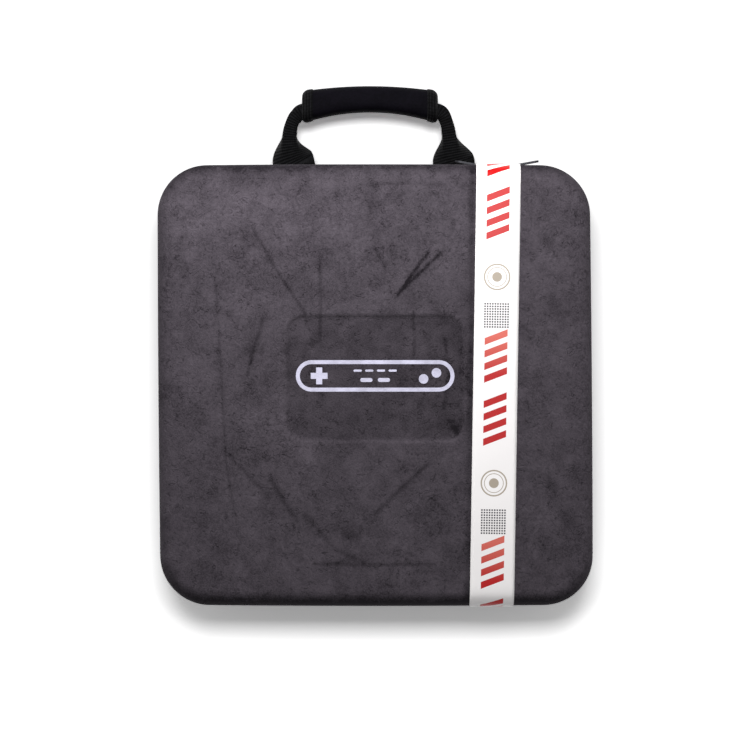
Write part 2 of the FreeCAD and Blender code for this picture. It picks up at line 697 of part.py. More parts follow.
def make_slider(label, across, flip):
    """A zip slider: two plates joined by a post at its wide end, with a bail over the outer one."""
    body = new_body(label)
    half_l = "sizes.slider_length / 2"
    half_w = "sizes.slider_width / 2"
    outline = (
        ("-%s" % half_l, "-0.62 * %s" % half_w),
        ("-0.84 * %s" % half_l, "-0.8 * %s" % half_w),
        ("0.5 * %s" % half_l, "-1 * %s" % half_w),
        ("0.84 * %s" % half_l, "-0.88 * %s" % half_w),
        (half_l, "-0.55 * %s" % half_w),
        (half_l, "0.55 * %s" % half_w),
        ("0.84 * %s" % half_l, "0.88 * %s" % half_w),
        ("0.5 * %s" % half_l, "1 * %s" % half_w),
        ("-0.84 * %s" % half_l, "0.8 * %s" % half_w),
        ("-%s" % half_l, "0.62 * %s" % half_w),
    )
    inner_face = "(sizes.tape_thick + sizes.fit_gap)"
    outer_face = "(sizes.coil_height + sizes.fit_gap)"
    inner = new_sketch(body, label + "_inner", "XZ_Plane", inner_face)
    add_polygon(inner, outline)
    extrude(body, "Pad", inner, "sizes.flange_thick")
    post = new_sketch(body, label + "_post", "XZ_Plane", inner_face)
    add_rounded(post, "0.32 * sizes.slider_length", "sizes.post_thick", "0.3", "0.26 * sizes.slider_length")
    extrude(body, "Pad", post, "%s + %s" % (inner_face, outer_face), reverse=True)
    outer = new_sketch(body, label + "_outer", "XZ_Plane", "-%s" % outer_face)
    add_polygon(outer, outline)
    extrude(body, "Pad", outer, "sizes.flange_thick", reverse=True)
    bail = new_sketch(body, label + "_bail", "XY_Plane")
    foot = "(%s + sizes.flange_thick)" % outer_face
    span = "0.39 * sizes.slider_length"
    crown = "(%s + sizes.bail_rise)" % foot
    add_polygon(
        bail,
        (
            ("-%s" % span, foot),
            ("-%s" % span, "%s - 0.5" % crown),
            ("-%s + 1.4" % span, "%s + sizes.bail_thick" % crown),
            ("%s - 1.4" % span, "%s + sizes.bail_thick" % crown),
            (span, "%s - 0.5" % crown),
            (span, foot),
            ("%s - sizes.bail_thick" % span, foot),
            ("%s - sizes.bail_thick" % span, "%s - 0.7" % crown),
            ("%s - sizes.bail_thick - 0.7" % span, crown),
            ("-%s + sizes.bail_thick + 0.7" % span, crown),
            ("-%s + sizes.bail_thick" % span, "%s - 0.7" % crown),
            ("-%s + sizes.bail_thick" % span, foot),
        ),
    )
    extrude(body, "Pad", bail, "sizes.bail_width", both=True)
    if flip:
        body.Placement = Placement(Vector(0, 0, 0), Rotation(Vector(0, 1, 0), 180))
    body.setExpression("Placement.Base.x", across)
    body.setExpression("Placement.Base.y", "sizes.body_height / 2 - %s" % TAPE_INSET)
    body.setExpression("Placement.Base.z", "sizes.shell_depth + sizes.zip_gap / 2")
    return body


def make_pull(label, across, flip):
    """A pull: a flat tab with an eye whose end bar turns under the bail."""
    body = new_body(label)
    outline = new_sketch(body, label + "_outline", "XZ_Plane")
    half_w = "sizes.pull_width / 2"
    arm = "(sizes.bail_width / 2 + 2.4)"
    tip = "sizes.pull_length"
    add_polygon(
        outline,
        (
            ("0.9", "-%s" % arm),
            ("0.9", arm),
            ("-5", arm),
            ("-8", half_w),
            ("-%s + 3" % tip, half_w),
            ("-%s" % tip, "%s - 2" % half_w),
            ("-%s" % tip, "-%s + 2" % half_w),
            ("-%s + 3" % tip, "-%s" % half_w),
            ("-8", "-%s" % half_w),
            ("-5", "-%s" % arm),
        ),
    )
    eye = "(sizes.bail_width / 2 + 0.4)"
    add_polygon(
        outline,
        (("-0.9", "-%s" % eye), ("-0.9", eye), ("-6.4", eye), ("-6.4", "-%s" % eye)),
    )
    extrude(body, "Pad", outline, "sizes.pull_thick", both=True)
    turn = Rotation(Vector(0, 0, 1), -size("pull_lift"))
    if flip:
        turn = Rotation(Vector(0, 1, 0), 180).multiply(turn)
    body.Placement = Placement(Vector(0, 0, 0), turn)
    lift = "sizes.coil_height + sizes.fit_gap + sizes.flange_thick + sizes.bail_rise / 2"
    body.setExpression("Placement.Base.x", across)
    body.setExpression("Placement.Base.y", "sizes.body_height / 2 - %s + %s" % (TAPE_INSET, lift))
    body.setExpression("Placement.Base.z", "sizes.shell_depth + sizes.zip_gap / 2")
    return body


BASE_BAYS = (
    ("sizes.console_length", "sizes.console_width", "sizes.bay_radius", "0", "sizes.console_shift"),
    ("sizes.console_length", "sizes.cable_width", "sizes.bay_radius", "0", "sizes.cable_shift"),
)
LID_BAYS = (
    ("sizes.pad_length", "sizes.pad_width", "sizes.pad_radius", "-sizes.pad_spread / 2", "sizes.pad_shift"),
    ("sizes.pad_length", "sizes.pad_width", "sizes.pad_radius", "sizes.pad_spread / 2", "sizes.pad_shift"),
    ("sizes.spares_length", "sizes.spares_width", "sizes.pad_radius", "0", "sizes.spares_shift"),
)
NODES = (
    "base_shell", "console_tray", "base_zip_tape", "base_zip_coil", "base_seam_binding", "hinge_strip",
    "handle_webbing", "handle_grip", "grip_binding_left", "grip_binding_right", "anchor_plate_left",
    "anchor_plate_right", "anchor_rivets", "lid_shell", "controller_tray", "lid_zip_tape",
    "lid_zip_coil", "lid_seam_binding", "front_band", "zip_slider_left", "zip_slider_right",
    "zip_pull_left", "zip_pull_right",
)

fill_sheet()
for part_half in ("base", "lid"):
    make_shell(part_half)
    make_ring(
        part_half + "_zip_tape", part_half, TAPE_INSET, "sizes.tape_thick",
        "-%s" % TAPE_REACH, "sizes.seam_lap", True,
    )
    make_ring(
        part_half + "_zip_coil", part_half, "(%s - sizes.coil_height)" % TAPE_INSET, "sizes.coil_height",
        "-%s" % TAPE_REACH, "-%s + sizes.coil_width" % TAPE_REACH, True,
    )
    make_ring(
        part_half + "_seam_binding", part_half, BINDING_INSET, "sizes.binding_thick",
        "1", "1 + sizes.binding_height", False,
    )
make_foam("console_tray", "base", BASE_BAYS, "sizes.console_deep")
make_foam("controller_tray", "lid", LID_BAYS, "sizes.pad_deep")
make_hinge()
make_grip()
make_webbing()
make_anchors()
make_band()
make_slider("zip_slider_left", "sizes.body_width / 2 - sizes.slider_left_side", False)
make_slider("zip_slider_right", "sizes.body_width / 2 - sizes.slider_right_side", True)
make_pull("zip_pull_left", "sizes.body_width / 2 - sizes.slider_left_side", False)
make_pull("zip_pull_right", "sizes.body_width / 2 - sizes.slider_right_side", True)
DOC.recompute()

for item in DOC.Objects:
    if "Invalid" in item.State or "Error" in item.State:
        raise RuntimeError("not built: " + item.Label)
os.makedirs("parts", exist_ok=True)
for node in NODES:
    piece = DOC.getObject(node)
    if piece.Shape.isNull() or not piece.Shape.isValid():
        raise RuntimeError("no valid form: " + node)
    piece.Shape.exportStep("parts/%s.step" % node)
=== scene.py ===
"""A padded carrying bag: velour halves, zip, webbing handle, printed band and foam trays."""
import math
from functools import partial

import bmesh
import bpy
import numpy as np
from bpy.props import FloatProperty, FloatVectorProperty, PointerProperty
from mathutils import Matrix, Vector
from mathutils.bvhtree import BVHTree


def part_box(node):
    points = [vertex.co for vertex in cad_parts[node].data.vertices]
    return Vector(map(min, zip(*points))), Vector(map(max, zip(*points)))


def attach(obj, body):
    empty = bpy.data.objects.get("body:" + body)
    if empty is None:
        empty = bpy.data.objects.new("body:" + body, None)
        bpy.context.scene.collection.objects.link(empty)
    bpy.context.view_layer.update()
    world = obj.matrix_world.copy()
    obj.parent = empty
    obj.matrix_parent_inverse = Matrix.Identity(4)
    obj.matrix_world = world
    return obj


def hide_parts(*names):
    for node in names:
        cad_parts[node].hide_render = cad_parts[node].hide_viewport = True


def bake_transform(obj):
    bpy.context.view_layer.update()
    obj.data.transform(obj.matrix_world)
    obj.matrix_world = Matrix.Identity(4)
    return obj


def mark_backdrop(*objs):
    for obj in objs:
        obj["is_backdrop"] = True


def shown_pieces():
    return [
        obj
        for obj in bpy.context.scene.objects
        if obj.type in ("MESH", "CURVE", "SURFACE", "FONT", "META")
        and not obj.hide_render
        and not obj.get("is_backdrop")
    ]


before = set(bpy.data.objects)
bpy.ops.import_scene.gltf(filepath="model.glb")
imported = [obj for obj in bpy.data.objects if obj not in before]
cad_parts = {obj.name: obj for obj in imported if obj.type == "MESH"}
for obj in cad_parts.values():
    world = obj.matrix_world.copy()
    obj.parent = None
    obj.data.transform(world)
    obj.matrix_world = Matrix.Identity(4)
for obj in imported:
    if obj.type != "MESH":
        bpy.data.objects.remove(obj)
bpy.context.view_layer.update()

bl_info = {
    "name": "Carrying bag",
    "version": (1, 0, 0),
    "blender": (4, 5, 0),
    "location": "View3D > Sidebar > Bag",
    "description": "Cloth, zip, handle, band and trays of a padded carrying bag",
    "category": "Object",
}

MM = 0.001


def linear(code):
    """An sRGB hex colour as linear red, green and blue."""
    channels = [int(code[i : i + 2], 16) / 255 for i in (1, 3, 5)]
    return tuple(c / 12.92 if c <= 0.04045 else ((c + 0.055) / 1.055) ** 2.4 for c in channels)


def length(name, text, default):
    """A length property in metres, given in millimetres."""
    return FloatProperty(name=name, description=text, default=default * MM, unit="LENGTH", precision=5)


def colour(name, text, code):
    """A colour property."""
    return FloatVectorProperty(
        name=name, description=text, default=linear(code), subtype="COLOR", size=3, min=0, max=1
    )


class BagForm(bpy.types.PropertyGroup):
    """Sizes of the two halves."""

    corner_radius: length("Corner radius", "Corner of the outline at the rim", 46)
    draft: FloatProperty(
        name="Draft", description="Lean of the side walls", default=math.radians(5), subtype="ANGLE"
    )
    edge_round: length("Edge round", "Round from a side wall to a large face", 15)
    wall: length("Wall", "Cloth, stiffener and lining together", 5)
    crown: length("Crown", "Rise of a large face at its middle", 1.6)
    side_bow: length("Side bow", "Swell of the top and bottom walls at their middle", 1.3)
    shear: FloatProperty(name="Shear", description="Sideways lean of the soft sides", default=0.0075)
    panel_length: length("Panel length", "Pressed panel, side to side", 153)
    panel_height: length("Panel height", "Pressed panel, top to bottom", 108.5)
    panel_radius: length("Panel radius", "Corner of the pressed panel", 16)
    panel_rise: length("Panel rise", "Centre of the pressed panel above the middle", 6)
    panel_depth: length("Panel depth", "Depth of the pressed panel", 2)


class BagTrim(bpy.types.PropertyGroup):
    """Sizes of the sewn and repeated details."""

    tooth_pitch: length("Tooth pitch", "Zip teeth, one to the next", 2.4)
    stitch_pitch: length("Stitch pitch", "Stitches, one to the next", 3.6)
    stitch_length: length("Stitch length", "Thread seen in one stitch", 2.7)
    thread: length("Thread", "Thickness of the sewing thread", 0.55)
    webbing_rib: length("Webbing rib", "Ribs across the handle webbing", 2.3)
    band_width: length("Band width", "Printed band", 38)
    band_shift: length("Band shift", "Band centre to the right of the middle", 103)


class BagHandle(bpy.types.PropertyGroup):
    """Sizes of the handle."""

    height: length("Height", "Grip across at its middle", 24)
    flare: length("Flare", "Grip across at its ends", 29.4)
    drop: length("Drop", "Grip ends below its middle", 7.2)
    strap_arch: length("Strap arch", "Radius of the webbing's arch in the grip", 215)
    strap_set: length("Strap set", "Webbing below the middle of the grip", 2.5)


class BagColours(bpy.types.PropertyGroup):
    """Colours of the cloths and fittings."""

    velour: colour("Velour", "Pile brushed flat", "#554f56")
    # The shade colour also takes the painted shade on the rounded edges and the painted shadow beside the
    # band
    velour_dark_and_shade: colour("Velour shade", "Pile brushed up", "#1a171b")
    lining: colour("Lining", "Inside of the halves", "#26252a")
    foam: colour("Foam", "Flocked trays", "#2a282d")
    tape: colour("Tape", "Zip tape, binding and hinge cloth", "#17161a")
    webbing: colour("Webbing", "Handle strap", "#0a0a0b")
    grip: colour("Grip", "Sleeve of the handle", "#07060a")
    metal: colour("Metal", "Sliders, pulls and rivets", "#3a3a3e")
    band: colour("Band", "Printed film", "#f1eeee")
    ink: colour("Ink", "Strong end of the printed bars", "#ad0206")
    ink_pale: colour("Pale ink", "Faded end of the printed bars", "#cf6458")
    seal: colour("Seals", "Printed seals", "#a3988a")
    dots: colour("Dots", "Printed dots", "#454448")
    foil: colour("Foil", "Pressed figure on the panel", "#a9a7ba")


# Meshes
def to_object(name, mesh):
    """Puts a mesh in the scene as an object of the same name."""
    mesh.name = name
    obj = bpy.data.objects.new(name, mesh)
    bpy.context.scene.collection.objects.link(obj)
    return obj


def mesh_of(points, faces, turned=False):
    """A mesh from points in millimetres."""
    mesh = bpy.data.meshes.new("piece")
    order = [tuple(reversed(f)) for f in faces] if turned else faces
    mesh.from_pydata((np.asarray(points, float) * MM).tolist(), [], order)
    mesh.validate()
    mesh.update()
    return mesh


def outward(mesh):
    """Turns the faces of a closed mesh outward and shades it smooth."""
    form = bmesh.new()
    form.from_mesh(mesh)
    bmesh.ops.recalc_face_normals(form, faces=form.faces)
    form.to_mesh(mesh)
    form.free()
    mesh.shade_smooth()
    mesh.update()
    return mesh


def joined(name, meshes):
    """Several meshes as one object."""
    form = bmesh.new()
    for mesh in meshes:
        form.from_mesh(mesh)
    whole = bpy.data.meshes.new(name)
    form.to_mesh(whole)
    form.free()
    for mesh in meshes:
        bpy.data.meshes.remove(mesh)
    return to_object(name, whole)


def smoothstep(x):
    """Zero to one with level ends."""
    x = np.clip(x, 0.0, 1.0)
    return x * x * (3 - 2 * x)


# Outline of the bag at its rims, in millimetres
def half_sizes():
    """Half the width and height at the rim."""
    low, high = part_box("lid_shell")
    return (high[0] - low[0]) / 2 / MM, (high[1] - low[1]) / 2 / MM


def rounded_grid(count, half_w, half_h, radius):
    """A square grid pressed into a rounded rectangle, with the outward direction of each point."""
    line = np.linspace(-1, 1, count + 1)
    a, b = np.meshgrid(line, line, indexing="ij")
    reach = np.maximum(np.abs(a), np.abs(b))
    by_x = np.abs(a) >= np.abs(b)
    main = np.where(by_x, a, b)
    other = np.where(by_x, b, a)
    part = np.divide(other, reach, out=np.zeros_like(other), where=reach > 0)
    main_half = np.where(by_x, half_w, half_h) * reach
    other_half = np.where(by_x, half_h, half_w) * reach
    bend = radius * reach**2
    straight = other_half - bend
    run = np.abs(part) * (straight + bend * math.pi / 4)
    turn = np.divide(run - straight, bend, out=np.zeros_like(run), where=bend > 0)
    turn = np.clip(turn, 0, math.pi / 4)
    along = np.where(turn > 0, straight + bend * np.sin(turn), np.minimum(run, straight))
    out = main_half - bend + bend * np.cos(turn)
    out = out * np.sign(main)
    along = along * np.sign(part)
    normal_out = np.cos(turn) * np.sign(main)
    normal_along = np.sin(turn) * np.sign(part)
    place = np.stack([np.where(by_x, out, along), np.where(by_x, along, out)], -1)
    normal = np.stack(
        [np.where(by_x, normal_out, normal_along), np.where(by_x, normal_along, normal_out)], -1
    )
    return place, normal, reach


def outline(start, end, step):
    """Points and outward directions along the rim, from the middle of the bottom, turning left."""
    half_w, half_h = half_sizes()
    radius = bpy.context.scene.bag_form.corner_radius / MM
    shear = bpy.context.scene.bag_form.shear
    flat_w = half_w - radius
    flat_h = half_h - radius
    arc = radius * math.pi / 2
    legs = (flat_w, arc, 2 * flat_h, arc, 2 * flat_w, arc, 2 * flat_h, arc, flat_w)
    whole = sum(legs)
    count = max(2, int(round((end - start) / step)))
    places, normals = [], []
    for s in np.linspace(start, end, count + 1):
        left = s % whole
        if s == whole:
            left = whole
        leg = 0
        while leg < 8 and left > legs[leg]:
            left -= legs[leg]
            leg += 1
        turn = math.radians(-90 + 90 * ((leg + 1) // 2))
        if leg % 2:
            turn = math.radians(-90 + 90 * (leg // 2)) + left / radius
            centre = ((1, -1), (1, 1), (-1, 1), (-1, -1))[leg // 2]
            normal = (math.cos(turn), math.sin(turn))
            place = (
                centre[0] * flat_w + radius * normal[0],
                centre[1] * flat_h + radius * normal[1],
            )
        else:
            normal = (round(math.cos(turn)), round(math.sin(turn)))
            begin = (
                (0, -half_h), (half_w, -flat_h), (flat_w, half_h), (-half_w, flat_h), (-flat_w, -half_h)
            )[leg // 2]
            place = (begin[0] - normal[1] * left, begin[1] + normal[0] * left)
        places.append((place[0] - shear * place[1], place[1]))
        normals.append(normal)
    return np.array(places), np.array(normals), whole


def rim_length():
    """Length of the outline at the rim."""
    return outline(0, 1, 1)[2]


def swept(section, start, end, step=4.0, closed=False):
    """A closed section of inset and height swept along the outline, with lengths as the UV map."""
    places, normals, _ = outline(start, end, step)
    if closed:
        places, normals = places[:-1], normals[:-1]
    section = np.asarray(section, float)
    across = np.concatenate([[0], np.cumsum(np.linalg.norm(np.diff(section, axis=0), axis=1))])
    across = np.append(across, across[-1] + np.linalg.norm(section[0] - section[-1]))
    rows, count = len(places), len(section)
    flat = places[:, None, :] - section[None, :, 0, None] * normals[:, None, :]
    height = np.broadcast_to(section[None, :, 1, None], (rows, count, 1))
    points = np.concatenate([flat, height], -1).reshape(-1, 3)
    gaps = np.linalg.norm(np.diff(places, axis=0), axis=1)
    along = np.concatenate([[0], np.cumsum(gaps)])
    faces, uvs = [], []
    for i in range(rows if closed else rows - 1):
        j = (i + 1) % rows
        far = along[j] if j else along[-1] + gaps[-1]
        for k in range(count):
            m = (k + 1) % count
            faces.append((i * count + k, j * count + k, j * count + m, i * count + m))
            uvs.append(
                ((along[i], across[k]), (far, across[k]), (far, across[k + 1]), (along[i], across[k + 1]))
            )
    if not closed:
        for ring in (range(count), range((rows - 1) * count, rows * count)):
            faces.append(tuple(ring))
            uvs.append(((0, 0),) * count)
    return with_uv(points, faces, uvs)


def with_uv(points, faces, uvs):
    """A closed mesh with a UV map in metres."""
    mesh = bpy.data.meshes.new("piece")
    mesh.from_pydata((np.asarray(points, float) * MM).tolist(), [], faces)
    layer = mesh.uv_layers.new(name="Length")
    flat = [pair for face in uvs for pair in face]
    layer.data.foreach_set("uv", (np.asarray(flat, float) * MM).ravel())
    return outward(mesh)


def strip_mesh(outer, inner, along, across, blank=None):
    """A thin closed strip from its outer and inner points, with its lengths as the UV map.

    A printed strip has its width first in the map, and a blank place for its back and edges.
    """
    rows, count = len(along), len(across)
    size = rows * count

    def spot(point):
        row, column = divmod(point, count)
        return (across[column], along[row]) if blank else (along[row], across[column])

    faces, uvs = [], []
    for i in range(rows - 1):
        for k in range(count - 1):
            a, b = i * count + k, (i + 1) * count + k
            front, back = (a, b, b + 1, a + 1), (a, a + 1, b + 1, b)
            faces += [front, tuple(point + size for point in back)]
            uvs.append([spot(point) for point in front])
            uvs.append([blank or spot(point) for point in back])
    border = (
        [i * count for i in range(rows)]
        + [(rows - 1) * count + k for k in range(1, count)]
        + [i * count + count - 1 for i in range(rows - 2, -1, -1)]
        + [k for k in range(count - 2, 0, -1)]
    )
    for a, b in zip(border, border[1:] + border[:1]):
        faces.append((a, a + size, b + size, b))
        near, far = along[a // count], along[b // count]
        uvs.append([blank] * 4 if blank else ((near, 0), (near, 1), (far, 1), (far, 0)))
    return with_uv(np.concatenate([outer, inner]), faces, uvs)


# Nodes
MATH = "ShaderNodeMath"
MIX = "ShaderNodeMix"
NOISE = "ShaderNodeTexNoise"
RANGE = "ShaderNodeMapRange"
BUMP = "ShaderNodeBump"


def fill(node, inputs):
    """Links or sets a node's inputs."""
    for key, item in inputs.items():
        socket = node.inputs[key]
        if isinstance(item, bpy.types.NodeSocket):
            node.id_data.links.new(item, socket)
        elif socket.type == "RGBA":
            socket.default_value = (*item[:3], 1)
        else:
            socket.default_value = item


def add(tree, kind, inputs=None, out=0, **settings):
    """Adds a node with its settings and inputs, and gives one of its outputs."""
    node = tree.nodes.new(kind)
    for key, item in settings.items():
        setattr(node, key, item)
    fill(node, inputs or {})
    return node.outputs[out]


def new_material(name, inputs):
    """A material with one Principled shader, what adds nodes to it, and that shader."""
    skin = bpy.data.materials.new(name)
    skin.use_nodes = True
    shader = skin.node_tree.nodes["Principled BSDF"]
    fill(shader, inputs)
    return skin, partial(add, skin.node_tree), shader


def shaded(tone, share):
    """A colour made darker or brighter."""
    return tuple(min(1.0, share * c) for c in tone)


def lines_of(node, noise):
    """Zero along the winding lines where a noise crosses its middle."""
    off = node(MATH, {0: noise, 1: 0.5}, operation="SUBTRACT")
    return node(MATH, {0: off}, operation="ABSOLUTE")


# Materials
def velour_material():
    """Brushed velour: a short dull pile in paler and darker strokes that glows at grazing angles, with
    painted shade and highlight on its rounded edges and a painted shadow beside the band.
    """
    colours = bpy.context.scene.bag_colours
    skin, node, shader = new_material(
        "brushed_velour",
        {
            "Roughness": 1.0,
            "Sheen Weight": 0.08,
            "Sheen Roughness": 0.42,
            "Sheen Tint": linear("#c9c2cd"),
            "Specular IOR Level": 0.15,
        },
    )
    place = node("ShaderNodeTexCoord", out="Object")
    # The nap attribute carries the drawn strokes, the pressed panel, painted shade and highlight on the
    # rounded edges, and a painted shadow beside the band
    strokes_and_edge_shade = node("ShaderNodeAttribute", out="Fac", attribute_name="nap")
    # Patches of 42 mm, clouds of 14 mm, curls of 6 mm where the pile was rubbed, and a grain of 1.2 mm
    patches = node(NOISE, {"Vector": place, "Scale": 1 / 0.042, "Detail": 4.0, "Roughness": 0.6})
    patches = node(RANGE, {"Value": patches, "From Min": 0.28, "From Max": 0.74})
    clouds = node(NOISE, {"Vector": place, "Scale": 1 / 0.014, "Detail": 3.0, "Roughness": 0.55})
    clouds = node(RANGE, {"Value": clouds, "From Min": 0.28, "From Max": 0.74})
    curls = node(
        NOISE, {"Vector": place, "Scale": 1 / 0.006, "Detail": 3.0, "Roughness": 0.6, "Distortion": 2.2}
    )
    pile = node(NOISE, {"Vector": place, "Scale": 1 / 0.0012, "Detail": 2.0, "Roughness": 0.6})
    tone = node(MATH, {0: patches, 1: 0.26}, operation="MULTIPLY")
    for layer, share in ((clouds, 0.24), (curls, 0.62), (pile, 0.6)):
        tone = node(MATH, {0: layer, 1: share, 2: tone}, operation="MULTIPLY_ADD")
    # Short creases a millimetre wide, felted into the pile and darkened in colour: partly the felted
    # pile, partly painted shade in the crease
    creases = node(NOISE, {"Vector": place, "Scale": 1 / 0.0085, "Detail": 2.0, "Distortion": 0.8})
    creases = lines_of(node, creases)
    creases = node(
        RANGE, {"Value": creases, "From Min": 0.0, "From Max": 0.05, "To Min": 1.0, "To Max": 0.0}
    )
    short = node(
        NOISE, {"Vector": place, "Scale": 1 / 0.0055, "Detail": 1.0, "W": 3.0}, noise_dimensions="4D"
    )
    short = node(RANGE, {"Value": short, "From Min": 0.52, "From Max": 0.62})
    creases = node(MATH, {0: creases, 1: short}, operation="MULTIPLY")
    tone = node(MATH, {0: creases, 1: -0.17, 2: tone}, operation="MULTIPLY_ADD")
    # Thin winding scuffs, in the worn places only
    winding = node(NOISE, {"Vector": place, "Scale": 1 / 0.016, "Detail": 5.0, "Roughness": 0.7})
    winding = lines_of(node, winding)
    scuffs = node(
        RANGE, {"Value": winding, "From Min": 0.0, "From Max": 0.028, "To Min": -0.2, "To Max": 0.0}
    )
    worn = node(NOISE, {"Vector": place, "Scale": 1 / 0.05, "Detail": 2.0})
    worn = node(RANGE, {"Value": worn, "From Min": 0.46, "From Max": 0.66})
    tone = node(MATH, {0: scuffs, 1: worn, 2: tone}, operation="MULTIPLY_ADD")
    # The drawn strokes, with the painted edge shade and highlight and the painted shadow beside the band,
    # break up with the curls
    broken = node(
        RANGE, {"Value": curls, "From Min": 0.3, "From Max": 0.7, "To Min": 0.35, "To Max": 1.35}
    )
    tone = node(MATH, {0: strokes_and_edge_shade, 1: broken, 2: tone}, operation="MULTIPLY_ADD")
    tone = node(RANGE, {"Value": tone, "From Min": 0.36, "From Max": 1.2})
    paint = node(MIX, {0: tone, 6: colours.velour_dark_and_shade, 7: colours.velour}, out=2, data_type="RGBA")
    fine = node(BUMP, {"Height": pile, "Distance": 0.0005, "Strength": 0.7})
    rubbed = node(BUMP, {"Height": curls, "Distance": 0.0007, "Strength": 0.5, "Normal": fine})
    sunk = node(BUMP, {"Height": creases, "Distance": -0.0006, "Strength": 0.6, "Normal": rubbed})
    fill(shader, {"Base Color": paint, "Normal": sunk})
    return skin


def lining_material():
    """Knitted lining: a dull dark cloth with fine loops."""
    colours = bpy.context.scene.bag_colours
    skin, node, shader = new_material(
        "knitted_lining", {"Roughness": 0.9, "Sheen Weight": 0.15, "Sheen Roughness": 0.5}
    )
    place = node("ShaderNodeTexCoord", out="Object")
    loops = node(NOISE, {"Vector": place, "Scale": 1 / 0.0016, "Detail": 2.0})
    dark = shaded(colours.lining, 0.72)
    paint = node(MIX, {0: loops, 6: dark, 7: colours.lining}, out=2, data_type="RGBA")
    knit = node(BUMP, {"Height": loops, "Distance": 0.0003, "Strength": 0.6})
    fill(shader, {"Base Color": paint, "Normal": knit})
    return skin


def foam_material():
    """Flocked foam: dark and matt, with a dense short fuzz that lies in faint patches."""
    colours = bpy.context.scene.bag_colours
    skin, node, shader = new_material(
        "flocked_foam", {"Roughness": 0.95, "Sheen Weight": 0.2, "Sheen Roughness": 0.5}
    )
    place = node("ShaderNodeTexCoord", out="Object")
    # The fuzz is far finer than a millimetre, and is drawn at 1.8 mm so that it shows
    fuzz = node(NOISE, {"Vector": place, "Scale": 1 / 0.0018, "Detail": 3.0, "Roughness": 0.6})
    patches = node(NOISE, {"Vector": place, "Scale": 1 / 0.05, "Detail": 4.0, "Roughness": 0.6})
    tone = node(MATH, {0: fuzz, 1: patches}, operation="ADD")
    tone = node(RANGE, {"Value": tone, "From Min": 0.7, "From Max": 1.3})
    dark = shaded(colours.foam, 0.55)
    paint = node(MIX, {0: tone, 6: dark, 7: colours.foam}, out=2, data_type="RGBA")
    nap = node(BUMP, {"Height": fuzz, "Distance": 0.0006, "Strength": 0.6})
    fill(shader, {"Base Color": paint, "Normal": nap})
    return skin


def ribs_of(node, run, pitch):
    """Ribs from zero to one along a length."""
    turn = node(MATH, {0: run, 1: 2 * math.pi / pitch}, operation="MULTIPLY")
    wave = node(MATH, {0: turn}, operation="SINE")
    return node(RANGE, {"Value": wave, "From Min": -1.0, "From Max": 1.0})


def woven_material(name, tone, rib, yarn, height, gloss):
    """Woven polyester: ribs across the run, finer yarns along it, and a little shine on the crowns,
    mostly a painted highlight, with painted shade between the ribs.
    """
    skin, node, shader = new_material(
        name,
        {"Roughness": 0.62, "Sheen Weight": 0.01, "Sheen Roughness": 0.4, "Specular IOR Level": gloss},
    )
    lengths = node("ShaderNodeUVMap", uv_map="Length")
    run, across = node("ShaderNodeSeparateXYZ", {0: lengths}).node.outputs[:2]
    ribs = ribs_of(node, run, rib)
    yarns = ribs_of(node, across, yarn)
    crowns = node(MATH, {0: yarns, 1: 0.35, 2: ribs}, operation="MULTIPLY_ADD")
    place = node("ShaderNodeTexCoord", out="Object")
    # Patches of 4 mm dim the crowns: wear, and a weaker painted highlight there
    wear_and_highlight_noise = node(NOISE, {"Vector": place, "Scale": 1 / 0.004, "Detail": 3.0})
    worn = node(RANGE, {"Value": wear_and_highlight_noise, "From Min": 0.3, "From Max": 0.7, "To Min": 0.3, "To Max": 0.74})
    rubbed = node(MATH, {0: crowns, 1: worn}, operation="MULTIPLY")
    # Painted highlight: the crowns are painted up to 2.8 times brighter, and painted shade: the hollows
    # between ribs go down to a tenth
    paint = node(MIX, {0: rubbed, 6: shaded(tone, 0.1), 7: shaded(tone, 2.8)}, out=2, data_type="RGBA")
    weave = node(BUMP, {"Height": crowns, "Distance": height, "Strength": 0.8})
    fill(shader, {"Base Color": paint, "Normal": weave})
    return skin


def neoprene_material():
    """Jersey-faced neoprene: soft black with a faint knit and a grey bloom at the edges."""
    colours = bpy.context.scene.bag_colours
    skin, node, shader = new_material(
        "jersey_neoprene",
        {
            "Roughness": 0.7,
            "Sheen Weight": 0.012,
            "Sheen Roughness": 0.35,
            "Sheen Tint": linear("#9a96a3"),
            "Specular IOR Level": 0.05,
        },
    )
    place = node("ShaderNodeTexCoord", out="Object")
    # The knit is under a millimetre, and is drawn at 2 mm so that it shows
    knit = node(NOISE, {"Vector": place, "Scale": 1 / 0.002, "Detail": 2.0, "Roughness": 0.6})
    soft = node(NOISE, {"Vector": place, "Scale": 1 / 0.012, "Detail": 3.0})
    tone = node(MATH, {0: knit, 1: soft}, operation="ADD")
    tone = node(RANGE, {"Value": tone, "From Min": 0.7, "From Max": 1.3})
    dark, bright = shaded(colours.grip, 0.6), shaded(colours.grip, 1.35)
    paint = node(MIX, {0: tone, 6: dark, 7: bright}, out=2, data_type="RGBA")
    face = node(BUMP, {"Height": knit, "Distance": 0.0005, "Strength": 0.6})
    fill(shader, {"Base Color": paint, "Normal": face})
    return skin


def metal_material():
    """Blackened die-cast zinc: dark, half matt, rubbed a little brighter in places."""
    colours = bpy.context.scene.bag_colours
    skin, node, shader = new_material("blackened_zinc", {"Metallic": 0.85})
    place = node("ShaderNodeTexCoord", out="Object")
    rub = node(NOISE, {"Vector": place, "Scale": 1 / 0.003, "Detail": 3.0})
    dark = shaded(colours.metal, 0.5)
    paint = node(MIX, {0: rub, 6: dark, 7: colours.metal}, out=2, data_type="RGBA")
    gloss = node(RANGE, {"Value": rub, "From Min": 0.2, "From Max": 0.8, "To Min": 0.32, "To Max": 0.55})
    grit = node(NOISE, {"Vector": place, "Scale": 1 / 0.0006, "Detail": 2.0})
    cast = node(BUMP, {"Height": grit, "Distance": 0.00003, "Strength": 0.6})
    fill(shader, {"Base Color": paint, "Roughness": gloss, "Normal": cast})
    return skin


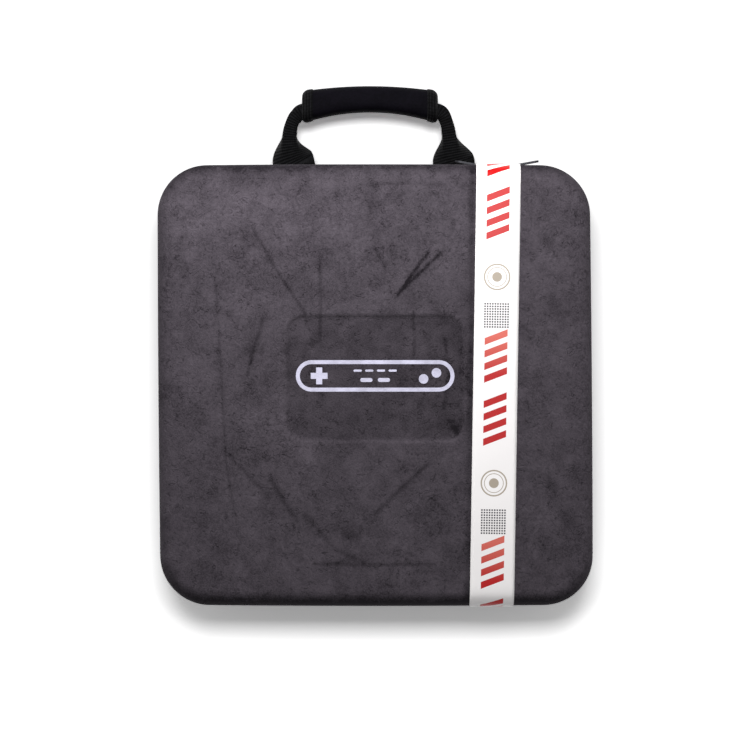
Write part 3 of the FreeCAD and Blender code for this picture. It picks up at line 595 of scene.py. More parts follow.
def plastic_material():
    """Moulded black polyester: half matt with a fine grain, a little paler where it is rubbed."""
    skin, node, shader = new_material("moulded_polyester", {"Roughness": 0.5})
    place = node("ShaderNodeTexCoord", out="Object")
    rub = node(NOISE, {"Vector": place, "Scale": 1 / 0.004, "Detail": 3.0})
    paint = node(MIX, {0: rub, 6: linear("#101013"), 7: linear("#1e1e22")}, out=2, data_type="RGBA")
    grain = node(NOISE, {"Vector": place, "Scale": 1 / 0.0008, "Detail": 2.0})
    face = node(BUMP, {"Height": grain, "Distance": 0.00006, "Strength": 0.5})
    fill(shader, {"Base Color": paint, "Normal": face})
    return skin


def between(node, amount, low, high):
    """One between two limits and zero elsewhere."""
    above = node(MATH, {0: amount, 1: low}, operation="GREATER_THAN")
    below = node(MATH, {0: amount, 1: high}, operation="LESS_THAN")
    return node(MATH, {0: above, 1: below}, operation="MULTIPLY")


def film_material():
    """Printed film: smooth white with slanted red bars, ringed seals and patches of grey dots."""
    colours = bpy.context.scene.bag_colours
    skin, node, shader = new_material(
        "printed_film",
        {"Roughness": 0.38, "Coat Weight": 0.1, "Coat Roughness": 0.2, "Specular IOR Level": 0.25},
    )
    lengths = node("ShaderNodeUVMap", uv_map="Length")
    across, run = node("ShaderNodeSeparateXYZ", {0: lengths}).node.outputs[:2]
    off_middle = node(MATH, {0: across}, operation="ABSOLUTE")
    # The print repeats every 176.7 mm down the band
    first, repeat = 0.0928, 0.1767
    down = node(MATH, {0: first, 1: run}, operation="SUBTRACT")
    down = node(MATH, {0: down, 1: repeat}, operation="FLOORED_MODULO")
    # Bars 5.9 mm broad, 10.8 mm apart, in two groups of four
    bar_pitch, starts = 0.0108, (0.0486, 0.1026)
    slanted = node(MATH, {0: across, 1: 0.4, 2: down}, operation="MULTIPLY_ADD")
    begun = node(MATH, {0: slanted, 1: starts[0]}, operation="SUBTRACT")
    phase = node(MATH, {0: begun, 1: 1 / bar_pitch}, operation="MULTIPLY")
    phase = node(MATH, {0: phase}, operation="FRACT")
    bars = node(MATH, {0: phase, 1: 0.55}, operation="LESS_THAN")
    inside = node(MATH, {0: off_middle, 1: 0.0098}, operation="LESS_THAN")
    groups = [between(node, slanted, start, start + 4 * bar_pitch) for start in starts]
    groups = node(MATH, {0: groups[0], 1: groups[1]}, operation="ADD")
    for mask in (inside, groups):
        bars = node(MATH, {0: bars, 1: mask}, operation="MULTIPLY")
    fade = node(RANGE, {"Value": down, "From Min": 0.05, "From Max": 0.084})
    ink = node(MIX, {0: fade, 6: colours.ink_pale, 7: colours.ink}, out=2, data_type="RGBA")
    # Seals 22.8 mm across
    beside = node(MATH, {0: down, 1: repeat / 2}, operation="PINGPONG")
    around = node("ShaderNodeCombineXYZ", {0: across, 1: beside})
    away = node("ShaderNodeVectorMath", {0: around}, out="Value", operation="LENGTH")
    seal = node(MATH, {0: away, 1: 0.0042}, operation="LESS_THAN")
    for low, high in ((0.0102, 0.0114), (0.0078, 0.0084)):
        seal = node(MATH, {0: seal, 1: between(node, away, low, high)}, operation="MAXIMUM")
    # Dots 1.4 mm across, 2.2 mm apart
    dot_pitch = 0.0022
    dots = between(node, down, 0.022, 0.044)
    patch = node(MATH, {0: off_middle, 1: 0.011}, operation="LESS_THAN")
    dots = node(MATH, {0: dots, 1: patch}, operation="MULTIPLY")
    for way in (across, down):
        cell = node(MATH, {0: way, 1: 1 / dot_pitch}, operation="MULTIPLY")
        cell = node(MATH, {0: cell}, operation="FRACT")
        dots = node(MATH, {0: dots, 1: between(node, cell, 0.18, 0.82)}, operation="MULTIPLY")
    paint = node(MIX, {0: bars, 6: colours.band, 7: ink}, out=2, data_type="RGBA")
    paint = node(MIX, {0: seal, 6: paint, 7: colours.seal}, out=2, data_type="RGBA")
    paint = node(MIX, {0: dots, 6: paint, 7: colours.dots}, out=2, data_type="RGBA")
    place = node("ShaderNodeTexCoord", out="Object")
    waves = node(NOISE, {"Vector": place, "Scale": 1 / 0.02, "Detail": 2.0})
    lie = node(BUMP, {"Height": waves, "Distance": 0.0003, "Strength": 0.35})
    fill(shader, {"Base Color": paint, "Normal": lie})
    return skin


def foil_material():
    """Pressed foil: pale lilac silver, broken up a little by the cloth under it."""
    colours = bpy.context.scene.bag_colours
    skin, node, shader = new_material("pressed_foil", {"Metallic": 0.35, "Roughness": 0.42})
    place = node("ShaderNodeTexCoord", out="Object")
    patches = node(NOISE, {"Vector": place, "Scale": 1 / 0.009, "Detail": 4.0})
    patches = node(RANGE, {"Value": patches, "From Min": 0.35, "From Max": 0.6})
    dull = shaded(colours.foil, 0.78)
    paint = node(MIX, {0: patches, 6: dull, 7: colours.foil}, out=2, data_type="RGBA")
    grain = node(NOISE, {"Vector": place, "Scale": 1 / 0.0014, "Detail": 2.0})
    pressed = node(BUMP, {"Height": grain, "Distance": 0.0002, "Strength": 0.4})
    fill(shader, {"Base Color": paint, "Normal": pressed})
    return skin


def thread_material():
    """Spun sewing thread: dark, slightly shiny, with a fine twist."""
    skin, node, shader = new_material("spun_thread", {"Roughness": 0.6, "Sheen Weight": 0.1})
    place = node("ShaderNodeTexCoord", out="Object")
    twist = node(NOISE, {"Vector": place, "Scale": 1 / 0.0006, "Detail": 1.0})
    paint = node(MIX, {0: twist, 6: linear("#17161a"), 7: linear("#2e2b31")}, out=2, data_type="RGBA")
    fill(shader, {"Base Color": paint})
    return skin


def tape_material():
    """Zip tape: a flat dark weave."""
    tone = bpy.context.scene.bag_colours.tape
    return woven_material("woven_tape", tone, 1.1 * MM, 0.9 * MM, 0.0002, 0.06)


def binding_material():
    """Seam binding: a soft dark tape with close ribs."""
    tone = bpy.context.scene.bag_colours.tape
    return woven_material("seam_binding", tone, 1.6 * MM, 0.7 * MM, 0.0003, 0.06)


def cuff_material():
    """Grip binding: a stretchy ribbed tape."""
    tone = bpy.context.scene.bag_colours.webbing
    return woven_material("ribbed_binding", tone, 2.4 * MM, 2.4 * MM, 0.0006, 0.05)


def webbing_material():
    """Handle webbing: heavy ribs, drawn a little coarse so that they show."""
    scene = bpy.context.scene
    rib = scene.bag_trim.webbing_rib
    return woven_material("woven_webbing", scene.bag_colours.webbing, rib, 1.6 * MM, 0.0008, 0.06)


MATERIALS = {
    "velour": velour_material,
    "lining": lining_material,
    "foam": foam_material,
    "tape": tape_material,
    "binding": binding_material,
    "cuff": cuff_material,
    "webbing": webbing_material,
    "neoprene": neoprene_material,
    "metal": metal_material,
    "plastic": plastic_material,
    "film": film_material,
    "foil": foil_material,
    "thread": thread_material,
}
MADE = {}


def finish_of(key):
    """The material of a kind, made once."""
    if key not in MADE:
        MADE[key] = MATERIALS[key]()
    return MADE[key]


# Repeats along a path
def repeat_tree(name, shape):
    """A node tree that sets a small solid along a path at an even pitch."""
    tree = bpy.data.node_groups.new(name, "GeometryNodeTree")
    face = tree.interface
    face.new_socket("Geometry", in_out="INPUT", socket_type="NodeSocketGeometry")
    for label, kind in (
        ("Pitch", "NodeSocketFloat"),
        ("Size", "NodeSocketVector"),
        ("Tilt", "NodeSocketFloat"),
        ("Material", "NodeSocketMaterial"),
    ):
        face.new_socket(label, in_out="INPUT", socket_type=kind)
    face.new_socket("Geometry", in_out="OUTPUT", socket_type="NodeSocketGeometry")
    node = partial(add, tree)
    given = node("NodeGroupInput").node.outputs
    path = node("GeometryNodeMeshToCurve", {"Mesh": given["Geometry"]})
    points = node("GeometryNodeResampleCurve", {"Curve": path, "Length": given["Pitch"]}, mode="LENGTH")
    tangent = node("GeometryNodeInputTangent")
    turn = node("FunctionNodeAlignRotationToVector", {"Vector": tangent}, axis="X", pivot_axis="Z")
    tilt = node("ShaderNodeCombineXYZ", {"Y": given["Tilt"]})
    turn = node(
        "FunctionNodeRotateRotation", {"Rotation": turn, "Rotate By": tilt}, rotation_space="LOCAL"
    )
    if shape == "round":
        solid = node("GeometryNodeMeshIcoSphere", {"Radius": 0.5, "Subdivisions": 1})
    else:
        solid = node("GeometryNodeMeshCube", {"Size": (1, 1, 1)})
    placed = node(
        "GeometryNodeInstanceOnPoints",
        {"Points": points, "Instance": solid, "Rotation": turn, "Scale": given["Size"]},
    )
    real = node("GeometryNodeRealizeInstances", {"Geometry": placed})
    skinned = node("GeometryNodeSetMaterial", {"Geometry": real, "Material": given["Material"]})
    fill(tree.nodes.new("NodeGroupOutput"), {"Geometry": skinned})
    return tree


TREES = {}


def repeated(points, closed, shape, pitch, size, skin, tilt=0.0):
    """A mesh of small solids along a path of points in millimetres."""
    if shape not in TREES:
        TREES[shape] = repeat_tree("repeat_" + shape, shape)
    tree = TREES[shape]
    count = len(points)
    links = [(i, (i + 1) % count) for i in range(count if closed else count - 1)]
    mesh = bpy.data.meshes.new("path")
    mesh.from_pydata((np.asarray(points, float) * MM).tolist(), links, [])
    path = to_object("path", mesh)
    step = path.modifiers.new("repeat", "NODES")
    step.node_group = tree
    keys = {s.name: s.identifier for s in tree.interface.items_tree if s.in_out == "INPUT"}
    step[keys["Pitch"]] = float(pitch)
    step[keys["Size"]] = [float(v) for v in size]
    step[keys["Tilt"]] = float(tilt)
    step[keys["Material"]] = skin
    path.data.update()
    graph = bpy.context.evaluated_depsgraph_get()
    graph.update()
    made = bpy.data.meshes.new_from_object(path.evaluated_get(graph))
    path.modifiers.clear()
    bpy.data.objects.remove(path)
    bpy.data.meshes.remove(mesh)
    return made


# Halves
# Painted shade and highlight on the rounded edge, by the way a wall faces: darker on the bottom and top
# walls, lighter on the right one; and how dark the pile is brushed on the pressed panel
PAINTED_SHADE_DOWN, PAINTED_SHADE_UP, PAINTED_HIGHLIGHT_RIGHT, TONE_PANEL = 4.2, 2.8, -1.7, 0.85
PANEL_AND_PAINTED_SHADE_SHARE = -0.2
# Half width in millimetres, tone and path of each stroke in the pile of the lid, and of a painted shadow
# beside the band
NAP_STROKES_AND_BAND_SHADOW = (
    (1.3, -0.3, ((-102, 131), (-84, 99), (-59, 61))),
    (1.6, -0.56, ((20, 77), (33, 96), (46, 113))),
    (1.9, -0.5, ((25, 83), (40, 97), (57, 113))),
    (1.2, -0.26, ((-47, 112), (-46, 76), (-47, 38))),
    (1.2, -0.22, ((-136, 92), (-132, 20), (-128, -66), (-119, -120))),
    (1.9, -0.28, ((-96, 56), (-103, 33), (-109, 9))),
    (1.7, -0.3, ((1, 116), (5, 109), (9, 101))),
    (1.3, -0.22, ((33, 60), (34, 40), (33, 17))),
    (3.4, -0.45, ((68, -37), (70, -40))),
    (2.4, -0.32, ((-89, -81), (-79, -99), (-68, -116))),
    (2.0, -0.32, ((44, -68), (20, -90), (-1, -110))),
    (5.5, -0.3, ((-23, -128), (-18, -129))),
    (1.7, -0.28, ((-53, -152), (0, -153), (50, -152))),
    (1.6, -0.16, ((-2, 171), (30, 172), (61, 171))),
    (5.0, -0.14, ((-5, 178), (-2, 150), (3, 128))),
    (4.5, -0.2, ((148, 126), (150, 121))),
    (5.5, -0.17, ((152, 76), (153, 69))),
    (4.5, -0.2, ((148, -81), (151, -87))),
    (5.5, -0.22, ((162, -110), (166, -116))),
    (2.2, -0.26, ((-60, -112), (-35, -140), (-12, -150))),
    (2.0, -0.22, ((-125, -60), (-92, -96))),
    (1.8, -0.22, ((60, 40), (64, 10), (58, -20))),
    (16.0, 0.08, ((-150, 140), (-90, 150), (-40, 140))),
    (14.0, 0.1, ((70, 146), (120, 136))),
    (12.0, 0.16, ((-60, -60), (-110, -30))),
    # A painted shadow along the left edge of the band, not a stroke in the pile
    (3.6, -0.3, ((85, 186), (82, 0), (79, -186))),
)


def nap_and_band_shadow_of(points):
    """How the pile lies at each point: below zero where it was brushed up dark, and where a painted
    shadow lies beside the band.
    """
    total = np.zeros(len(points))
    x, y = points.T
    ragged = 1 + 0.35 * np.sin(x * 0.9 + y * 0.55) * np.sin(y * 0.7)
    for width, strength, path in NAP_STROKES_AND_BAND_SHADOW:
        near = np.full(len(points), 1e9)
        for a, b in zip(path, path[1:]):
            a, b = np.array(a, float), np.array(b, float)
            run = b - a
            share = np.clip(((points - a) @ run) / (run @ run), 0, 1)
            near = np.minimum(near, np.linalg.norm(points - a - share[:, None] * run, axis=1))
        total += strength * np.exp(-((near / (width * ragged)) ** 2))
    return total


def ripple(x, y):
    """The slight waviness of a padded face, in millimetres."""
    return (
        0.22 * np.sin(x / 27 + 0.7) * np.sin(y / 33 + 1.9)
        + 0.14 * np.sin(x / 11.5 + y / 17 + 0.4)
        + 0.10 * np.sin(y / 9.3 - x / 14.1 + 2.2)
    )


def soft_shape(x, y, z):
    """Moves a point of a half as the soft cloth lies: the walls swell and the sides lean a little."""
    form = bpy.context.scene.bag_form
    half_w, half_h = half_sizes()
    rise = smoothstep(z / 40)
    swell = form.side_bow / MM * rise * (1 - np.clip((x / half_w) ** 2, 0, 1))
    far = np.clip((np.abs(y) / half_h - 0.35) / 0.6, 0, 1)
    side = 0.8 * rise * (1 - np.clip((y / half_h) ** 2, 0, 1))
    wide = np.clip((np.abs(x) / half_w - 0.35) / 0.6, 0, 1)
    new_x = x + np.sign(x) * side * smoothstep(wide) - form.shear * y
    new_y = y + np.sign(y) * swell * smoothstep(far)
    return new_x, new_y


def half_mesh(count, panel):
    """One half of the bag from its rim outward: cloth outside, lining inside, in one closed skin."""
    form = bpy.context.scene.bag_form
    half_w, half_h = half_sizes()
    low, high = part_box("lid_shell")
    depth = (high[2] - low[2]) / MM
    wall = form.wall / MM
    lean = math.tan(form.draft)
    edge = form.edge_round / MM
    radius = form.corner_radius / MM
    crown = form.crown / MM
    reach = edge * math.tan((math.pi / 2 - form.draft) / 2)
    inset = depth * lean + reach
    place, normal, spread = rounded_grid(count, half_w - inset, half_h - inset, radius - inset)
    x, y = place[..., 0], place[..., 1]
    z = depth - crown + crown * (1 - spread**2) ** 1.2 + 0.6 * ripple(x, y) * (1 - spread**4)
    sunk = np.zeros_like(x)
    if panel:
        hw, hh = form.panel_length / MM / 2, form.panel_height / MM / 2
        pr = form.panel_radius / MM
        qx = np.abs(x) - hw + pr
        qy = np.abs(y - form.panel_rise / MM) - hh + pr
        gap = np.hypot(np.maximum(qx, 0), np.maximum(qy, 0))
        gap = gap + np.minimum(np.maximum(qx, qy), 0) - pr
        sunk = 1 - smoothstep((gap + 2.2) / 2.4)
        z = z - 0.7 * form.panel_depth / MM * sunk
        z = z + 0.2 * np.exp(-(((gap - 2.5) / 4.0) ** 2))
    ring = (
        [(i, 0) for i in range(count)]
        + [(count, j) for j in range(count)]
        + [(i, count) for i in range(count, 0, -1)]
        + [(0, j) for j in range(count, 0, -1)]
    )
    rows, columns = np.array(ring).T
    at, out = place[rows, columns], normal[rows, columns]
    profile = []
    for turn in np.linspace(90, math.degrees(form.draft), 12)[1:]:
        angle = math.radians(turn)
        shift = edge * math.cos(angle)
        fall = edge - edge * math.sin(angle)
        profile.append((inset - shift, depth - fall - crown * (turn / 90) ** 2))
    low_z = profile[-1][1]
    for share in (0.8, 0.6, 0.42, 0.25, 0.12):
        profile.append((low_z * share * lean, low_z * share))
    lip, bevel = 1.4, 0.4
    profile += [(0.12, lip), (bevel, bevel), (lip, 0.0)]
    skin_rings = len(profile)
    profile += [(wall - lip, 0.0), (wall - bevel, bevel), (wall, lip)]
    floor = depth - wall
    profile += [(wall + h * lean, h) for h in (0.3 * floor, 0.6 * floor, 0.78 * floor)]
    inner = wall + floor * lean
    profile += [(inner + 1.8, floor - 5.5), (inner + 5.0, floor - 1.6), (inner + 9.5, floor)]
    points = [np.stack([x.ravel(), y.ravel(), z.ravel()], -1)]
    for shift, height in profile:
        flat = at + (inset - shift) * out
        points.append(np.column_stack([flat, np.full(len(flat), height)]))
    points = np.concatenate(points)
    grid = (count + 1) ** 2
    faces, kinds = [], []
    for i in range(count):
        for j in range(count):
            a = i * (count + 1) + j
            faces.append((a, a + count + 1, a + count + 2, a + 1))
            kinds.append(0)
    last = rows * (count + 1) + columns
    around = len(ring)
    for step in range(len(profile)):
        now = grid + step * around + np.arange(around)
        for k in range(around):
            m = (k + 1) % around
            faces.append((int(last[k]), int(now[k]), int(now[m]), int(last[m])))
            kinds.append(0 if step < skin_rings else 1)
        last = now
    faces.append(tuple(int(v) for v in last))
    kinds.append(1)
    # Painted shade on the bottom and top walls and a painted highlight on the right wall, by the way each
    # faces
    edge_shade_and_highlight = (
        PAINTED_SHADE_DOWN * np.maximum(-out[:, 1], 0)
        + PAINTED_SHADE_UP * np.maximum(out[:, 1], 0)
        + PAINTED_HIGHLIGHT_RIGHT * np.maximum(out[:, 0], 0)
    )
    # The painted edge shade and highlight are full over the rounded edge, and mostly gone further down
    # the wall
    step = np.arange(len(profile))
    ring_shade_share = smoothstep((step + 1) / 9) * (1 - 0.8 * smoothstep((step - 9) / 4))
    # Pressed pile on the panel, then the painted edge shade and highlight ring by ring
    pressed = np.concatenate([TONE_PANEL * sunk.ravel(), np.outer(ring_shade_share, edge_shade_and_highlight).ravel()])
    return points, faces, kinds, pressed


def dress_half(name, node, count, panel, top, body):
    """Makes one half and stands it in place of its CAD node."""
    points, faces, kinds, pressed = half_mesh(count, panel)
    # The nap attribute takes the pressed pile with the painted edge shade and highlight, and on the lid
    # also the strokes and the painted shadow beside the band
    nap = PANEL_AND_PAINTED_SHADE_SHARE * pressed
    if panel:
        nap = nap + nap_and_band_shadow_of(points[:, :2])
    new_x, new_y = soft_shape(points[:, 0], points[:, 1], points[:, 2])
    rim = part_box("lid_shell")[0][2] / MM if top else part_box("base_shell")[1][2] / MM
    height = rim + points[:, 2] if top else rim - points[:, 2]
    mesh = mesh_of(np.column_stack([new_x, new_y, height]), faces, turned=not top)
    mesh.polygons.foreach_set("material_index", kinds)
    layer = mesh.attributes.new("nap", "FLOAT", "POINT")
    layer.data.foreach_set("value", nap.astype(np.float32))
    outward(mesh)
    obj = to_object(name, mesh)
    obj.data.materials.append(finish_of("velour"))
    obj.data.materials.append(finish_of("lining"))
    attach(obj, body)
    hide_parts(node)
    return obj


class BAG_OT_halves(bpy.types.Operator):
    """Make the two velour halves"""

    bl_idname = "bag.halves"
    bl_label = "Velour halves"

    def execute(self, context):
        dress_half("lid_velour", "lid_shell", 236, True, True, "lid")
        dress_half("base_velour", "base_shell", 96, False, False, "base")
        return {"FINISHED"}


# Zip, binding and stitches, in millimetres
ZIP_START = 140.6
TAPE_THICK, BINDING_THICK, CORE_THICK = 0.9, 0.8, 1.5
STITCH_HEIGHT, STITCH_PROUD = 4.6, 0.12
CLOTH_PROUD, CLOTH_THICK = 0.2, 1.05


def strap_rounded(low, high, near, far, soft=0.3):
    """A thin upright section between two insets and two heights with eased edges."""
    return (
        (near, low + soft), (near + soft, low), (far - soft, low), (far, low + soft),
        (far, high - soft), (far - soft, high), (near + soft, high), (near, high - soft),
    )


def box_mm(node):
    """A node's box in millimetres."""
    low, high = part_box(node)
    return [v / MM for v in low], [v / MM for v in high]


def hinge_swell(x, level):
    """How far the hinge cloth stands off the walls, where the padding behind pushes it."""
    middle = (box_mm("base_shell")[1][2] + box_mm("lid_shell")[0][2]) / 2
    lumps = 0.9 * np.exp(-(((x + 59) / 26) ** 2)) + 1.0 * np.exp(-(((x - 50) / 32) ** 2))
    return lumps * np.exp(-(((level - middle) / 12) ** 2))


class BAG_OT_zip(bpy.types.Operator):
    """Make the zip tapes, their teeth, the seam bindings and the sewn rows"""

    bl_idname = "bag.zip"
    bl_label = "Zip and seams"

    def execute(self, context):
        trim = context.scene.bag_trim
        whole = rim_length()
        half_h = half_sizes()[1]
        zip_end = whole - ZIP_START
        for half in ("base", "lid"):
            low, high = box_mm(half + "_zip_tape")
            inset = half_h - high[1]
            section = strap_rounded(low[2], high[2], inset, inset + TAPE_THICK)
            tape = swept(section, ZIP_START, zip_end)
            obj = to_object(half + "_tape", tape)
            obj.data.materials.append(finish_of("tape"))
            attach(obj, half)
            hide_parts(half + "_zip_tape")
            low, high = box_mm(half + "_seam_binding")
            near = half_h - high[1]
            section = strap_rounded(low[2], high[2], near, near + BINDING_THICK)
            bound = swept(section, 0, whole, closed=True)
            obj = to_object(half + "_binding", bound)
            obj.data.materials.append(finish_of("binding"))
            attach(obj, half)
            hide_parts(half + "_seam_binding")
            self.teeth(half, trim, inset, zip_end)
            self.stitches(half, trim, whole)
        for node in ("zip_slider_left", "zip_slider_right", "zip_pull_left", "zip_pull_right"):
            fitting = bpy.data.objects[node]
            fitting.data.materials.clear()
            fitting.data.materials.append(finish_of("metal"))
            ease = fitting.modifiers.new("ease", "BEVEL")
            ease.width = 0.25 * MM
            ease.segments = 2
            ease.limit_method = "ANGLE"
        return {"FINISHED"}

    def teeth(self, half, trim, inset, zip_end):
        """The teeth of one half, reaching across the middle between those of the other."""
        low, high = box_mm(half + "_zip_coil")
        middle = (low[2] + high[2]) / 2
        shift = 0.0 if half == "base" else trim.tooth_pitch / MM / 2
        places, normals, _ = outline(ZIP_START + 1 + shift, zip_end - 1, 1.2)
        flat = places - (inset - 1.05) * normals
        lean = 0.25 if half == "base" else -0.25
        line = np.column_stack([flat, np.full(len(flat), middle + lean)])
        size = (0.62 * trim.tooth_pitch, 2.1 * MM, 2.9 * MM)
        teeth = repeated(line, False, "block", trim.tooth_pitch, size, finish_of("plastic"))
        section = strap_rounded(low[2], high[2], inset - CORE_THICK, inset, 0.6)
        core = swept(section, ZIP_START + 0.5, zip_end - 0.5)
        core.materials.append(finish_of("plastic"))
        obj = joined(half + "_teeth", [core, teeth])
        obj.data.materials.clear()
        obj.data.materials.append(finish_of("plastic"))
        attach(obj, half)
        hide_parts(half + "_zip_coil")

    def stitches(self, half, trim, whole):
        """The sewn row along the rim of one half."""
        form = bpy.context.scene.bag_form
        places, normals, _ = outline(0, whole, 2.0)
        flat = places - (STITCH_HEIGHT * math.tan(form.draft) - STITCH_PROUD) * normals
        low, high = box_mm(half + "_shell")
        level = high[2] - STITCH_HEIGHT if half == "base" else low[2] + STITCH_HEIGHT
        flat[:, 1] -= np.where(normals[:, 1] < -0.9, hinge_swell(flat[:, 0], level), 0.0)
        line = np.column_stack([flat, np.full(len(flat), level)])[:-1]
        size = (trim.stitch_length, trim.thread, trim.thread)
        row = repeated(line, True, "round", trim.stitch_pitch, size, finish_of("thread"))
        obj = to_object(half + "_stitches", row)
        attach(obj, half)


class BAG_OT_hinge(bpy.types.Operator):
    """Make the cloth hinge along the bottom"""

    bl_idname = "bag.hinge"
    bl_label = "Cloth hinge"

    def execute(self, context):
        low, high = box_mm("hinge_strip")
        half_h = half_sizes()[1]
        rims = (box_mm("base_shell")[1][2], box_mm("lid_shell")[0][2])
        lean = math.tan(context.scene.bag_form.draft)
        spread = np.linspace(low[0], high[0], 121)
        stops = (low[2], rims[0], rims[1], high[2])
        levels = [np.linspace(a, b, 9)[1:] for a, b in zip(stops, stops[1:])]
        levels = np.concatenate([[low[2]], *levels])
        x, level = np.meshgrid(spread, levels, indexing="ij")
        past = np.maximum(np.maximum(rims[0] - level, level - rims[1]), 0.0)
        wall_x, wall_y = soft_shape(x, past * lean - half_h, past)
        y = wall_y - CLOTH_PROUD - hinge_swell(x, level)
        outer = np.stack([wall_x, y, level], -1).reshape(-1, 3)
        inner = outer + (0, CLOTH_THICK, 0)
        obj = to_object("hinge_cloth", strip_mesh(outer, inner, spread, levels))
        obj.data.materials.append(finish_of("binding"))
        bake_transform(obj)
        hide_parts("hinge_strip")
        return {"FINISHED"}


# Handle, in millimetres, and the sleeve's share of the grip's length
STRAP_ROOT, STRAP_STAND = 71.0, 2.6
STRAP_HALF, STRAP_HALF_THICK, STRAP_POINTS = 18.4, 0.95, 29
FOLDED_CORE = 4.8
CUFF_LENGTH, CUFF_ROUND, CUFF_GROW = 9.6, 6.0, 0.4
SLEEVE_SHARE, SLEEVE_GROW = 0.9, -0.4


def grip_frame():
    """Middle point, half length and level of the grip, in millimetres."""
    low, high = box_mm("handle_grip")
    hand = bpy.context.scene.bag_handle
    middle = ((low[0] + high[0]) / 2, high[1] - hand.height / MM / 2)
    return middle, (high[0] - low[0]) / 2, (low[2] + high[2]) / 2


def strap_path(side, count):
    """Points, directions, fold angles and flat cores along one leg of the strap, grip to wall."""
    hand = bpy.context.scene.bag_handle
    middle, half, level = grip_frame()
    radius = hand.strap_arch / MM
    turn = math.asin(half / radius)
    centre = np.array([middle[0], middle[1] - hand.strap_set / MM - radius])
    start = centre + radius * np.array([side * math.sin(turn), math.cos(turn)])
    leave = np.array([side * math.cos(turn), -math.sin(turn)])
    half_h = half_sizes()[1]
    root = np.array([side * STRAP_ROOT, half_h + STRAP_STAND])
    b1 = start + leave * 12.0
    b2 = root + np.array([-8.7 + side * 2.2, 18.4])
    t = np.linspace(0, 1, count)[:, None]
    s = 1 - t
    places = s**3 * start + 3 * s**2 * t * b1 + 3 * s * t**2 * b2 + t**3 * root
    flow = 3 * s**2 * (b1 - start) + 6 * s * t * (b2 - b1) + 3 * t**2 * (root - b2)
    flow = flow / np.linalg.norm(flow, axis=1)[:, None]
    shut = math.pi - math.pi / 2 * smoothstep((t[:, 0] - 0.1) / 0.38)
    spread = smoothstep((t[:, 0] - 0.52) / 0.42)
    fold = np.where(spread > 0, np.arccos(spread), shut)
    core = 2.8 + 2.0 * (1 - smoothstep(t[:, 0] / 0.42)) + 2.0 * spread
    into = np.linspace(-7, -1.5, 4)[:, None] * leave
    turn_in = np.linspace(2, 11, 5)[:, None] * np.array([0.0, -1.0])
    places = np.concatenate([start + into, places, root + turn_in])
    flow = np.concatenate([np.repeat(leave[None], 4, 0), flow, np.repeat([[0.0, -1.0]], 5, 0)])
    fold = np.concatenate([np.full(4, math.pi), fold, np.zeros(5)])
    core = np.concatenate([np.full(4, FOLDED_CORE), core, np.full(5, FOLDED_CORE)])
    return places, flow, fold, core, level


def fold_section(fold, core):
    """The strap's section with its sides turned back: flat at zero, folded in three at pi."""
    reach = np.linspace(-STRAP_HALF, STRAP_HALF, STRAP_POINTS)
    fine = np.linspace(0, STRAP_HALF, 191)
    step = fine[1] - fine[0]
    sides = []
    for bend in (4.6, 3.4):
        angle = fold * smoothstep((fine - core) / bend)[:-1]
        along = np.concatenate([[0], np.cumsum(np.cos(angle) * step)])
        down = np.concatenate([[0], np.cumsum(-np.sin(angle) * step)])
        sides.append([np.interp(np.abs(reach), fine, run) for run in (along, down)])
    across = np.where(reach < 0, -sides[0][0], sides[1][0])
    depth = np.where(reach < 0, sides[0][1], sides[1][1])
    return reach, across, depth + 2.0 * fold / math.pi


def strap_mesh(side):
    """One leg of the webbing as a thick strip."""
    places, flow, folds, cores, level = strap_path(side, 48)
    layers = {1: [], -1: []}
    for place, run, fold, core in zip(places, flow, folds, cores):
        reach, across, depth = fold_section(fold, core)
        da, dd = np.gradient(across), np.gradient(depth)
        size = np.hypot(da, dd) + 1e-9
        for sign, points in layers.items():
            a = across - sign * STRAP_HALF_THICK * dd / size
            d = depth + sign * STRAP_HALF_THICK * da / size
            points.append(np.column_stack([place[0] + run[1] * a, place[1] - run[0] * a, level + d]))
    lengths = np.concatenate([[0], np.cumsum(np.linalg.norm(np.diff(places, axis=0), axis=1))])
    return strip_mesh(np.concatenate(layers[1]), np.concatenate(layers[-1]), lengths, reach)


def bar_tube(start, end, rows, around, grow, power=2.6, wave=None):
    """A closed tube over a share of the grip's length, with its lengths as the UV map."""
    hand = bpy.context.scene.bag_handle
    middle, half, level = grip_frame()
    thick = box_mm("handle_grip")
    thick = (thick[1][2] - thick[0][2]) / 2
    tall, flare, drop = hand.height / MM / 2, hand.flare / MM / 2, hand.drop / MM
    points, faces, uvs = [], [], []
    turns = np.linspace(0, 2 * math.pi, around, endpoint=False)
    for i, share in enumerate(np.linspace(start, end, rows)):
        extra = grow + (wave(i / (rows - 1)) if wave else 0.0)
        bend = share * share
        height = tall + (flare - tall) * bend + extra
        for turn in turns:
            c, s = math.cos(turn), math.sin(turn)
            fit = (abs(c) ** power + abs(s) ** power) ** (-1 / power)
            points.append(
                (
                    middle[0] + share * half,
                    middle[1] - drop * bend + height * c * fit,
                    level + (thick + extra) * s * fit,
                )
            )
    step = (end - start) * half / (rows - 1)
    girth = math.pi * (tall + thick) / around
    for i in range(rows - 1):
        for k in range(around):
            m = (k + 1) % around
            faces.append((i * around + k, (i + 1) * around + k, (i + 1) * around + m, i * around + m))
            uvs.append(
                (
                    (i * step, k * girth), ((i + 1) * step, k * girth),
                    ((i + 1) * step, (k + 1) * girth), (i * step, (k + 1) * girth),
                )
            )
    for row in (0, rows - 1):
        faces.append(tuple(range(row * around, (row + 1) * around)))
        uvs.append(((0, 0),) * around)
    return with_uv(points, faces, uvs)


